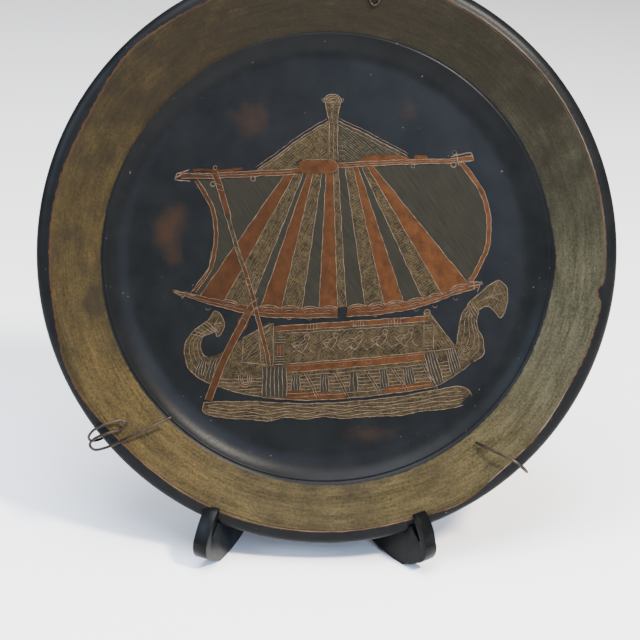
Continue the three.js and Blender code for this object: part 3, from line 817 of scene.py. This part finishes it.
def make_boom():
    """The copper boom in two lengths either side of the mast's foot, its tips, and the scallops of
    the sail's foot tied on it."""
    left = [(-40.4, -10.6), (-36.2, -12.2), (-29.6, -14.0), (-22.6, -15.6), (-17.8, -16.5),
            (-8, -16.7), (2.9, -16.2)]
    right = [(5.3, -16.0), (13, -15.3), (20.4, -14.0), (26.6, -12.3), (32.6, -9.9), (37.6, -8.2),
             (40.6, -7.0)]
    for low in (left, right):
        low = path(low)
        high_x = np.linspace(low[0, 0] + 0.1, min(low[-1, 0] - 0.1, 39.5), 30)
        high = np.column_stack([high_x, foot_line(high_x) + np.where(high_x < -36, 0.4, 0.0)])
        field(copper, [*low, *high[::-1]], UPPER_TOP)
        over(low)
        over(high[1:], FINE)
        middle_x = high_x[2:-1]
        level = np.interp(middle_x, low[:, 0], low[:, 1]) * 0.6 + foot_line(middle_x) * 0.4
        over(np.column_stack([middle_x, level]), FINE)
    for a, b in (((-41.2, -10.1), (-38.0, -10.9)), ((-41.0, -10.5), (-38.2, -12.0)),
                 ((-38.0, -10.9), (-35.0, -11.6)), ((37.4, -5.6), (41.6, -5.9)),
                 ((37.6, -7.0), (41.8, -6.2)), ((39.0, -5.0), (39.4, -8.0)),
                 ((40.2, -8.4), (41.2, -5.4)), ((-38.6, -12.4), (-37.4, -11.0))):
        over([a, b], TIP)
    for start, end in SCALLOPS:
        x, half = (start + end) / 2, (end - start) / 2
        level = float(foot_line(x)) - 0.55
        slope = (foot_line(end) - foot_line(start)) / (end - start)
        for size, drop in ((1.0, 0.0), (0.86, 0.45), (0.66, 0.85)):
            bow = arc((x, level - drop), half * size, 8, 172, 12, 0.46)
            bow[:, 1] += (bow[:, 0] - x) * slope
            thread(bow, 0.3 if drop == 0 else FINE, CROSS_TOP, STEADY)
        cap = arc((x, level), half, 0, 180, 12, 0.46)
        cap[:, 1] += (cap[:, 0] - x) * slope
        field(copper, cap, 0.14)
    for x in (-31.5, -20.9, -9.9, -4.6, 13.0, 24.0, 28.8, 34.4):
        low = float(foot_line(x)) - 2.6
        thread(arc((x, low), 0.6, 180, 360, 8), FAINT, HATCH_TOP)


def make_ropes():
    """The pole from the yard to the hull with its knots, the steering oar and the small hairpin."""
    pole = path([(-30.9, 21.2), (-29.0, 16.2), (-25.2, 3.7), (-22.9, -2.6), (-20.4, -9.6),
                 (-17.8, -19.1), (-16.2, -24.3), (-15.0, -29.6)], 10)
    split = 16
    for kind, part, width in ((copper, pole[:split], 1.5), (brass, pole[split:32], 0.9),
                              (copper, pole[31:], 1.1)):
        field(kind, band(part, width), OVER_TOP)
    for side in (-1, 1):
        width = np.where(np.arange(len(pole)) < split, 0.75, 0.5)
        offset = beside(pole, 1.0) - pole
        thread(pole + side * width[:, None] * offset, 0.3, 0.28, STEADY)
    for x, y in ((-29.9, 18.0), (-29.3, 16.6), (-21.6, -6.4), (-20.9, -8.2), (-19.6, -12.4)):
        thread([(x - 1.1, y + 0.3), (x + 1.0, y - 0.3)], 0.26, 0.3)
    for x, y in ((-19.8, -12.8), (-18.9, -14.6)):
        thread([(x - 1.5, y - 1.2), (x + 1.5, y + 1.2)], 0.3, 0.32)
    oar = path([(-19.4, -13.2), (-20.5, -14.8), (-22.4, -18.6), (-26.0, -26.0), (-27.9, -30.6),
                (-30.9, -39.4)], 8)
    field(copper, band(oar, 1.75), OVER_TOP)
    for side in (0.9, -0.9):
        thread(beside(oar, side), 0.26, CROSS_TOP, STEADY)
    knob = arc((-22.3, -18.4), 1.5, 0, 360, 16, 1.35)
    field(copper, knob[:-1], 0.24)
    thread(arc((-22.3, -18.4), 1.0, -60, 200, 12, 1.3), FINE, 0.31)
    slit = np.array([(-20.3, -9.9), (-19.0, -6.3)])
    thread([*(slit + (-0.45, 0.1)), (-18.4, -5.9), *(slit[::-1] + (0.75, -0.1))], 0.28, 0.26,
           GUIDED)


# ---- the hull ----------------------------------------------------------------------------------

def rail_line(x, drop=0.0):
    """Height of the top rail along the hull, less drop."""
    return -19.1 + (x + 13.7) * 0.0927 - drop


def low_rail_line(x, drop=0.0):
    """Height of the lower rail along the hull, less drop: it climbs a little faster to the bow."""
    return -29.1 + (x + 10.2) * 0.102 + 0.0006 * np.square(np.maximum(x, 0.0)) - drop


HULL_FOOT = path([(-31.6, -34.4), (-28.4, -35.6), (-19.0, -37.8), (-6.4, -38.7), (5.6, -38.0),
                  (20.4, -36.0), (30.1, -34.0), (36.7, -30.0), (39.2, -27.6)])


def hull_foot_line(x):
    """Height of the hull's lowest edge."""
    return np.interp(x, HULL_FOOT[:, 0], HULL_FOOT[:, 1])


STERN_OUT = path([(-31.6, -18.0), (-34.0, -19.8), (-36.2, -22.2), (-37.5, -25.0), (-37.3, -28.2),
                  (-36.0, -31.3), (-33.6, -33.4), (-31.6, -34.4)])
STERN_IN = path([(-29.0, -20.6), (-30.9, -21.4), (-32.8, -22.6), (-33.3, -24.8), (-32.7, -27.0),
                 (-31.2, -27.9)])
STEM_LEFT = path([(38.6, -10.6), (36.5, -14.2), (35.6, -18.0), (35.2, -22.8)])
STEM_RIGHT = path([(40.8, -13.4), (40.5, -17.6), (42.2, -21.0), (42.6, -25.2), (39.9, -27.3)])


def spread(line, first, before_end, count):
    """Count points picked evenly from a line, from its point first to one before its end."""
    return line[np.linspace(first, len(line) - before_end, count).astype(int)]


def make_hull():
    """The hull's brass ground from the curled stern to the tall stem, its two flower-shaped ends,
    the outlines, and the planks' engraved lines."""
    ground = [*STERN_OUT, *HULL_FOOT[1:], *STEM_RIGHT[::-1], *STEM_LEFT, (34.4, -22.8),
              (27.6, -14.0), (26.0, -14.2), (25.8, -15.4), (-13.6, -19.0), (-15.2, -18.0),
              (-22.0, -22.3), (-26.4, -26.0), *STERN_IN[::-1]]
    field(brass, ground, GROUND_TOP)
    stern_bloom = path([(-31.7, -18.2), (-30.4, -16.4), (-29.6, -15.4), (-28.0, -16.6),
                        (-27.2, -19.0), (-27.8, -21.2), (-29.0, -22.2), (-29.6, -20.6),
                        (-30.6, -19.4)], 5)
    bow_bloom = path([(38.7, -10.6), (41.6, -8.2), (43.4, -6.6), (45.9, -5.2), (48.2, -7.2),
                      (48.4, -10.8), (46.9, -15.2), (45.0, -13.4), (42.6, -12.2), (40.8, -13.4)], 5)
    for bloom in (stern_bloom, bow_bloom):
        field(brass, bloom, GROUND_TOP + 0.02)
        thread(bloom)
    for end in ((-28.6, -17.0), (-28.0, -18.6), (-28.0, -20.2), (-28.8, -21.4)):
        thread(path([(-31.2, -18.6), (-30.0, -18.8), end], 5), FINE)
    for end in ((45.4, -6.2), (47.2, -8.4), (47.2, -11.0), (46.2, -13.4)):
        thread(path([(41.2, -10.8), (43.8, -9.6), end], 5), FINE)
    hatch(bow_bloom, 55, 0.6, 8)
    for line in (STERN_OUT, STERN_IN, STEM_LEFT, STEM_RIGHT, HULL_FOOT):
        thread(line)
    outer, inner = spread(STERN_OUT, 8, 6, 36), spread(STERN_IN, 2, 1, 36)
    for share in (0.3, 0.55, 0.8):
        thread(outer * (1 - share) + inner * share, 0.2, PLANK_TOP)
    for t in np.linspace(0.06, 0.9, 6):
        thread([STERN_OUT[int(t * 17)], STERN_IN[int(t * 16)]], 0.3)
    for t in np.linspace(0.0, 0.2, 4):
        thread([STEM_LEFT[int(t * 24)], STEM_RIGHT[int(t * 32)]], 0.28)
    left, right = spread(STEM_LEFT, 5, 1, 24), spread(STEM_RIGHT, 4, 1, 24)
    for share in (0.2, 0.4, 0.6, 0.8):
        thread(left * (1 - share) + right * share, 0.2, PLANK_TOP)
    for drop in np.arange(1.0, 7.4, 0.95):
        x = np.linspace(-29.5 + 0.25 * drop, 35.5 - 0.3 * drop, 40)
        y = np.maximum(low_rail_line(x, 2.4) - drop + 0.0022 * np.square(np.minimum(x + 10, 0.0)),
                       hull_foot_line(x) + 0.35)
        keep = y > hull_foot_line(x) + 0.4
        if keep.sum() > 4:
            thread(np.column_stack([x, y])[keep], 0.24, PLANK_TOP, LOOSE)
    for radius in (0.5, 0.95, 1.4, 1.85):
        thread(arc((37.5, -25.0), radius, 40, 300, 16), 0.22)


def make_bindings():
    """Lashings round the hull: groups of raised threads across the planks on dark bands."""
    for a, b, shift, count, width in (
            ((-16.7, -30.0), (-16.5, -38.0), (6.4, 0.1), 7, 0.34),
            ((-8.9, -32.1), (-8.8, -36.2), (2.2, 0.1), 4, 0.27),
            ((-1.2, -31.9), (-1.0, -36.4), (2.1, 0.2), 4, 0.27),
            ((6.6, -31.0), (6.9, -36.2), (2.0, 0.3), 3, 0.27),
            ((14.6, -30.2), (15.2, -35.0), (2.0, 0.2), 4, 0.27),
            ((20.9, -29.4), (21.8, -33.9), (2.6, 0.3), 5, 0.27),
            ((26.4, -25.6), (29.2, -33.9), (2.9, 0.9), 5, 0.32),
            ((32.2, -24.4), (34.2, -30.6), (2.3, 1.2), 5, 0.32),
            ((-33.4, -28.4), (-34.4, -32.6), (1.9, -0.3), 4, 0.27),
            ((-30.4, -28.4), (-31.8, -33.8), (1.6, -0.2), 3, 0.27)):
        a, b, shift = np.array(a), np.array(b), np.array(shift)
        field(olive, [a, b, b + shift, a + shift], LOW_TOP)
        for t in np.linspace(0, 1, count):
            line = straight(a + t * shift, b + t * shift, 7)
            line[:, 0] += 0.12 * np.sin(np.linspace(0, 6, 7) + 4 * t)
            over(line, width, STEADY)
    for a, b in (((-5.6, -31.2), (-1.9, -38.2)), ((2.4, -31.0), (5.9, -37.4)),
                 ((10.8, -30.4), (14.4, -36.2)), ((17.5, -29.2), (22.0, -35.6)),
                 ((25.6, -27.6), (29.9, -35.0))):
        for shift in (0.0, 0.75):
            thread([np.array(a) + (shift, 0), np.array(b) + (shift, 0)], 0.27, CROSS_TOP)
    for patch in (
            [(-10.0, -36.1), (5.4, -37.0), (5.8, -38.0), (-6.4, -38.5), (-10.2, -38.3)],
            [(16.2, -34.6), (27.3, -32.9), (29.6, -33.9), (20.4, -35.9), (16.4, -36.4)]):
        field(copper, patch, PATCH_TOP)
    for size in (0.7, 1.2, 1.7):
        bow = arc((-21.3, -33.6), size, 180, 360, 10, 1.1)
        over([(bow[0, 0], -32.2), *bow, (bow[-1, 0], -32.2)], 0.3)
    field(copper, band(arc((-21.3, -33.6), 1.5, 170, 370, 12, 1.1), 0.6), LOW_TOP)


def make_panels():
    """The rowing deck: rails, side panels and the long panel with its row of rowers."""
    ends = np.array([-13.7, 27.3])
    rail = [(x, rail_line(x)) for x in ends] + [(x, rail_line(x, 1.35)) for x in ends[::-1]]
    field(copper, rail, UPPER_TOP)
    for edge in (rail[:2], rail[2:]):
        over(edge)
    for start, end in ((-5.2, -1.8), (7.1, 9.7), (16.5, 19.7)):
        for x in np.linspace(start, end, 5):
            thread([(x, rail_line(x) + 0.15), (x + 0.1, rail_line(x, 1.8))], 0.27, CROSS_TOP,
                   GUIDED)
    x = np.linspace(-10.4, 26.9, 24)
    low_rail = [*zip(x, low_rail_line(x)), *zip(x[::-1], low_rail_line(x[::-1], 2.3))]
    field(copper, low_rail, UPPER_TOP)
    for drop, width in ((0.0, THREAD), (2.3, THREAD), (0.55, FINE)):
        over(np.column_stack([x, low_rail_line(x, drop)]), width)
    for hook_x in (-7.6, 4.2, 11.6, 22.6):
        thread(arc((hook_x, low_rail_line(hook_x, 0.9)), 0.8, 190, 350, 8), FINE, CROSS_TOP)
    left_panel = [(-22.0, -22.3), (-14.2, -18.2), (-13.9, -29.6), (-22.2, -28.9)]
    hatch(left_panel, 38, 0.7, 11, 0.2)
    for a, b in zip(left_panel, left_panel[1:] + left_panel[:1]):
        thread([a, b])
    thread([(-14.6, -18.9), (-21.6, -28.2)], 0.24, LOW_TOP)
    thread([(-18.0, -20.6), (-17.2, -29.0)], 0.24, LOW_TOP)
    column = [(-13.4, -22.0), (-11.2, -21.8), (-11.0, -29.3), (-13.2, -29.5)]
    field(olive, column, PATCH_TOP)
    for y in (-22.0, -22.7, -23.4, -27.2, -27.9, -28.6, -29.3):
        over([(-13.5, y), (-11.0, y + 0.15)], 0.27, GUIDED)
    field(copper, [(-13.0, -23.9), (-11.5, -23.8), (-11.4, -26.6), (-12.9, -26.7)], UPPER_TOP)
    for column_x in (-13.0, -12.2, -11.4):
        over([(column_x, -23.8), (column_x + 0.1, -26.8)], FINE)
    deck = [(-10.6, rail_line(-10.6, 1.6)), (25.6, rail_line(25.6, 1.6)),
            (25.8, low_rail_line(25.8) + 0.3), (-10.4, low_rail_line(-10.4) + 0.3)]
    hatch(deck, 40, 0.7, 12, FAINT, 1.2)
    thread([(-10.9, rail_line(-10.9, 2.1)), (25.4, rail_line(25.4, 2.1))], 0.24, LOW_TOP)
    bow_panel = [(26.1, -14.6), (27.5, -14.4), (34.6, -22.9), (34.4, -23.8), (29.2, -24.6),
                 (26.4, -24.4)]
    hatch(bow_panel, -52, 0.7, 13, 0.2)
    thread(bow_panel + bow_panel[:1], 0.28)
    thread([(28.8, -17.6), (29.0, -24.2)], 0.24)
    for y in (-17.8, -18.6, -19.4, -22.6, -23.4, -24.2, -25.0):
        thread([(26.2, y), (28.6, y + 0.2)], 0.26, 0.18, GUIDED)
    ringlet((26.9, -14.4), 0.85, 0.3)
    field(brass, arc((26.9, -14.4), 0.8, 0, 360, 14)[:-1], 0.16)


def make_rowers():
    """Five plain rowers leaning on their oars, each a ring for the head and a few bowed cuts for
    back, arms, knee and oar, and no features."""
    for x, size in ((-5.1, 1.0), (2.6, 0.9), (9.2, 1.05), (15.8, 0.95), (22.6, 1.0)):
        head = np.array([x, rail_line(x, 3.5)])
        ringlet(head, 0.72 * size, 0.27, ROWER_TOP)
        for stroke in ([(-0.5, -0.5), (-1.7, -1.5), (-2.3, -3.0), (-1.4, -4.3)],
                       [(0.4, -0.6), (0.2, -1.9), (-0.6, -3.2), (-1.4, -4.3)],
                       [(-1.2, -1.4), (-2.6, -1.3), (-3.8, -2.2)],
                       [(-0.9, -1.9), (-2.4, -2.2), (-3.7, -2.7)],
                       [(-1.4, -4.2), (-2.9, -3.6), (-4.0, -4.4)],
                       [(-4.2, -1.7), (-2.9, -3.1), (-0.3, -4.7)],
                       [(0.6, -2.5), (1.3, -3.7), (2.2, -4.2)]):
            thread(path(head + np.array(stroke) * size, 4), 0.25, ROWER_TOP, 0.05)


def make_water():
    """The strip of sea: a brass band with a wavy foot, rounded at the right, and wave lines."""
    top = path([(-32.1, -39.9), (-26, -39.6), (-19, -39.4), (-6.4, -39.7), (5.7, -39.0),
                (20.5, -37.1), (31.2, -34.9), (36.9, -34.1), (39.2, -35.0)])
    foot = path([(39.2, -35.0), (39.9, -36.4), (39.0, -38.2), (35.2, -39.9), (27.1, -40.9),
                 (20.4, -42.3), (12.5, -42.7), (5.8, -43.4), (0.0, -43.1), (-4.9, -43.8),
                 (-10.0, -43.5), (-15.1, -44.5), (-21.2, -44.1), (-26, -44.0), (-30.3, -43.3),
                 (-32.2, -42.2), (-32.1, -39.9)])
    sea = np.concatenate([top, foot[1:-1]])
    field(brass, sea)
    thread(np.concatenate([sea, sea[:1]]))
    for share, phase in ((0.22, 0.0), (0.42, 1.3), (0.62, 2.1), (0.82, 0.4)):
        x = np.linspace(-31, 37.8 - 2 * abs(share - 0.5), 70)
        low = np.interp(x, foot[::-1, 0], foot[::-1, 1])
        high = np.interp(x, top[:, 0], top[:, 1])
        y = high + (low - high) * share + 0.22 * np.sin(0.62 * x + phase)
        thread(np.column_stack([x, y]), 0.28, LOW_TOP, 0.04)
    hatch(sea, 8, 0.7, 15, 0.18, 2.0)


def make_ship():
    """Cuts the whole ornament, and makes one piece of each metal."""
    for part in (make_sail, make_yard, make_mast, make_boom, make_hull, make_panels, make_rowers,
                 make_bindings, make_water, make_ropes):
        part()
    for name, fields, material in (("ship_copper_inlay", copper, copper_inlay()),
                                   ("ship_brass_inlay", brass, brass_inlay()),
                                   ("ship_olive_inlay", olive, olive_patina())):
        new_piece(name, *fields_mesh(fields), material, "patinated_metal")
    new_piece("ship_fine_ridges", *lines_mesh(hatching), toned_ridge(), "patinated_metal")
    new_piece("ship_raised_threads", *lines_mesh(threads), bare_thread(), "patinated_metal")


# ---- the wire hanger ---------------------------------------------------------------------------

WIRE_RADIUS = 0.38  # drawn 4 per cent thinner, to stay inside the CAD's box where it bends
SPRING_RADIUS = 2.0
SPRING_LENGTH = 24.0
COIL_WIRE, COILS = 0.36, 26
GAP = 0.3  # between the plate's back and what lies behind it
WIRE_BEHIND = -SHEET - GAP - WIRE_RADIUS
SPRING_BEHIND = -SHEET - GAP - SPRING_RADIUS
HANGER_TURN = math.radians(3.3)


def tube(points, radius, sides=12):
    """A round tube along the points: a ring square to the line at each point, carried along so
    that it doesn't twist, and closed at both ends by a shallow dome."""
    p = np.array(points, float)
    along = directions(p)
    normal = np.cross(along[0], [0.3, 0.5, 0.8])
    normals = []
    for direction in along:
        normal = normal - direction * normal.dot(direction)
        normal /= np.linalg.norm(normal)
        normals.append(normal)
    normals = np.array(normals)
    binormals = np.cross(along, normals)
    size = np.array([0.6 * radius] + [radius] * len(p) + [0.6 * radius])[:, None, None]
    dome = 0.3 * radius
    p = np.concatenate([[p[0] - along[0] * dome], p, [p[-1] + along[-1] * dome]])
    normals, binormals = (np.concatenate([v[:1], v, v[-1:]])[:, None] for v in (normals, binormals))
    turn = np.linspace(0, 2 * math.pi, sides, endpoint=False)[None, :, None]
    rings = (p[:, None] + (np.cos(turn) * normals + np.sin(turn) * binormals) * size).reshape(-1, 3)
    n = len(p)
    faces = grid_faces(n, sides, closed=True)
    faces += [list(range(sides))[::-1], [(n - 1) * sides + k for k in range(sides)]]
    return rings, faces


def on_face(radius, degrees, height):
    """A point at that radius, angle from the right, and height off the floor's level."""
    angle = math.radians(degrees)
    return np.array([radius * math.cos(angle), radius * math.sin(angle), height])


def hanger_turned(points):
    """The points turned by HANGER_TURN about the plate's middle."""
    c, s = math.cos(HANGER_TURN), math.sin(HANGER_TURN)
    return np.array(points) @ np.array([[c, s, 0], [-s, c, 0], [0, 0, 1]])


TOP_GRIP = on_face(PLATE_RADIUS, 79, 0)
LEFT_GRIP = on_face(PLATE_RADIUS, 216.5, 0)
RIGHT_GRIP = on_face(PLATE_RADIUS, -49, 0)


def spring_ends(grip):
    """The two ends of the spring half way from the top grip to a lower one, and half its length
    as a vector."""
    middle = (TOP_GRIP + grip) / 2
    half = (grip - TOP_GRIP) / np.linalg.norm(grip - TOP_GRIP) * SPRING_LENGTH / 2
    return middle - half, middle + half, half


def wire_end(end, half, sign):
    """Where a wire stops, just short of the spring's end, behind the plate."""
    place = end + half / np.linalg.norm(half) * sign * (GAP + 0.1)
    return np.array([place[0], place[1], WIRE_BEHIND])


def behind_rim(grip, towards, side=0.0):
    """Two points of a wire behind the rim, on its way from the well's back to a grip."""
    along = (towards - grip) / np.linalg.norm(towards - grip)
    across = np.array([-along[1], along[0], 0]) * side
    points = [grip + along * distance + across for distance in (26, 14)]
    return [np.array([p[0], p[1], WIRE_BEHIND + lift]) for p, lift in zip(points, (-0.4, 0.1))]


def make_hanger():
    """Three bent wires and two coiled springs that pull them together behind the plate."""
    wire_metal, spring_metal = bronze_wire(), spring_steel()
    half_loop, loop_end = 1.05, 65.7
    inward = on_face(1, 79, 0)
    across = np.array([-inward[1], inward[0], 0])

    def on_rim(radius, offset, height):
        return inward * radius + across * offset + np.array([0, 0, height])

    def round_edge(offset):
        return [on_rim(PLATE_RADIUS - 2, offset, 3.9), on_rim(PLATE_RADIUS + 1.2, offset, 5.2),
                on_rim(PLATE_RADIUS + 1.44, offset, 8.2), on_rim(PLATE_RADIUS - 1.5, offset, 9.7),
                on_rim(70, offset, rim_height(70) + 1.0)]

    left_up, left_down, left_half = spring_ends(LEFT_GRIP)
    right_up, right_down, right_half = spring_ends(RIGHT_GRIP)
    loop_height = rim_height(loop_end) + 0.9
    top = [wire_end(left_up, left_half, -1), *behind_rim(TOP_GRIP, LEFT_GRIP, -half_loop),
           *round_edge(half_loop), on_rim(loop_end + 0.9, half_loop * 0.95, loop_height),
           on_rim(loop_end, 0, loop_height), on_rim(loop_end + 0.9, -half_loop * 0.95, loop_height),
           *round_edge(-half_loop)[::-1], *behind_rim(TOP_GRIP, RIGHT_GRIP, half_loop)[::-1],
           wire_end(right_up, right_half, -1)]
    left = [wire_end(left_down, left_half, 1), *behind_rim(LEFT_GRIP, TOP_GRIP),
            (-59.0, -44.6, 2.2), (-61.8, -46.2, 4.0), (-63.9, -46.0, 6.4), (-64.3, -44.7, 8.2),
            (-62.6, -42.6, 9.6), (-58.3, -41.0, 9.5), (-55.4, -40.6, 9.2), (-54.5, -41.6, 9.1),
            (-55.6, -42.8, 9.2), (-60.0, -43.9, 9.6), (-63.1, -45.3, 9.6), (-64.0, -46.7, 9.2),
            (-63.0, -47.9, 9.2), (-59.8, -47.4, 9.9), (-51.3, -43.8, 10.2), (-42.8, -40.2, 8.8)]
    right = [wire_end(right_down, right_half, 1), *behind_rim(RIGHT_GRIP, TOP_GRIP),
             (48.6, -55.9, 3.2), (50.7, -58.4, 6.4), (50.4, -58.0, 10.2), (48.1, -55.6, 11.6),
             (42.5, -52.6, 9.8), (37.8, -50.6, rim_height(63.2) + 0.8)]
    for name, route in (("top", top), ("left", left), ("right", right)):
        line = hanger_turned(path(route, 10))
        new_piece(f"hanger_{name}_hook", *tube(line, 0.96 * WIRE_RADIUS), wire_metal, "bronze_wire",
                  replaces=[f"hanger_{name}_wire"], smooth=True)
    for name, grip in (("left", LEFT_GRIP), ("right", RIGHT_GRIP)):
        upper, _, half = spring_ends(grip)
        t = np.linspace(0, 1, COILS * 12 + 1)
        axis, level = half / np.linalg.norm(half), np.array([0, 0, 1.0])
        radius = (SPRING_RADIUS - COIL_WIRE) * np.where((t < 0.012) | (t > 0.988), 0.55, 1.0)
        turn = 2 * math.pi * COILS * t
        line = (np.array([upper[0], upper[1], SPRING_BEHIND])
                + axis * (COIL_WIRE + (SPRING_LENGTH - 2 * COIL_WIRE) * t)[:, None]
                + (radius * np.cos(turn))[:, None] * level
                + (radius * np.sin(turn))[:, None] * np.cross(axis, level))
        new_piece(f"hanger_{name}_coil", *tube(hanger_turned(line), COIL_WIRE, 8), spring_metal,
                  "spring_steel", replaces=[f"hanger_{name}_spring"], smooth=True)


# ---- the stand ---------------------------------------------------------------------------------

def make_stand():
    """Copies of the stand's solids, with their loose triangles merged and their edges rounded by
    0.4 mm, as moulded plastic has them."""
    plastic = black_moulded_plastic()
    for name in ("stand_left_wing", "stand_right_wing", "stand_spine"):
        piece = placed(name.replace("stand", "easel"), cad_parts[name].data.copy())
        mesh = piece.data
        mesh.name = piece.name
        shell = bmesh.new()
        shell.from_mesh(mesh)
        bmesh.ops.remove_doubles(shell, verts=shell.verts, dist=1e-6)
        bmesh.ops.dissolve_limit(shell, angle_limit=math.radians(1), verts=shell.verts,
                                 edges=shell.edges)
        shell.to_mesh(mesh)
        shell.free()
        mesh.polygons.foreach_set("use_smooth", np.ones(len(mesh.polygons), bool))
        mesh.materials.clear()
        mesh.materials.append(plastic)
        bevel = piece.modifiers.new("rounded_edges", "BEVEL")
        bevel.width = 0.0004
        bevel.segments = 3
        bevel.limit_method = "ANGLE"
        bevel.angle_limit = math.radians(38)
        bevel.harden_normals = True
        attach(piece, "root")
        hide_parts(name)


# ---- floor, lights and camera ------------------------------------------------------------------

def make_stage():
    """A wide pale floor, a pale world, a key from the upper right, two cool windows, one at
    the right front and one at the left, and two large soft lights overhead."""
    side, under = 3.0, -0.0002  # metres; the floor lies just under the feet
    mesh = bpy.data.meshes.new("floor")
    mesh.from_pydata([(-side, -side, under), (side, -side, under), (side, side, under),
                      (-side, side, under)], [], [(0, 1, 2, 3)])
    mesh.materials.append(shaded(new_material("matt_white_paper")[0],
                                 {"Base Color": "#f4f4f3", "Roughness": 0.9}))
    floor = placed("floor", mesh)
    world = bpy.data.worlds.new("studio")
    world.use_nodes = True
    feed(world.node_tree, world.node_tree.nodes["Background"].inputs,
         {"Color": "#f6f8fb", "Strength": 0.42})
    bpy.context.scene.world = world
    aim = Vector(PLATE_ORIGIN)
    for name, place, size, energy, colour in (
            ("key", (0.41, -0.45, 0.76), 0.13, 25.0, "#fff4e6"),
            ("window", (0.34, -0.95, 0.55), 0.6, 13.0, "#b6ccf6"),
            ("side_window", (-0.72, -0.46, 0.56), 0.5, 9.0, "#bdd6fb"),
            ("skylight", (-0.14, -0.30, 0.92), 0.6, 18.0, "#eef3ff"),
            ("overhead", (0.05, 0.1, 1.15), 0.7, 8.0, "#ffffff")):
        light = bpy.data.lights.new(name, "AREA")
        light.shape = "DISK"
        light.size = size
        light.energy = energy
        light.color = linear(colour)[:3]
        lamp = placed(name, light)
        lamp.location = place
        lamp.rotation_euler = (aim - Vector(place)).to_track_quat("-Z", "Y").to_euler()


def make_camera():
    """A camera a little above and left of the plate's front, turned a few degrees."""
    place = Vector((-0.03405, -0.37003, 0.20704))
    forward = Vector((0.08047, 0.92820, -0.36328)).normalized()
    roll = math.radians(3.3)
    level = forward.cross(Vector((0, 0, 1))).normalized()
    upright = level.cross(forward)
    right = level * math.cos(roll) + upright * math.sin(roll)
    up = upright * math.cos(roll) - level * math.sin(roll)
    data = bpy.data.cameras.new("camera")
    data.sensor_width = 36.0
    data.lens = 84.74625
    data.clip_start = 0.01
    camera = placed("camera", data)
    turn = Matrix((right, up, -forward)).transposed().to_4x4()
    camera.matrix_world = Matrix.Translation(place) @ turn
    bpy.context.scene.camera = camera


make_plate()
make_ship()
make_hanger()
make_stand()
make_stage()
make_camera()
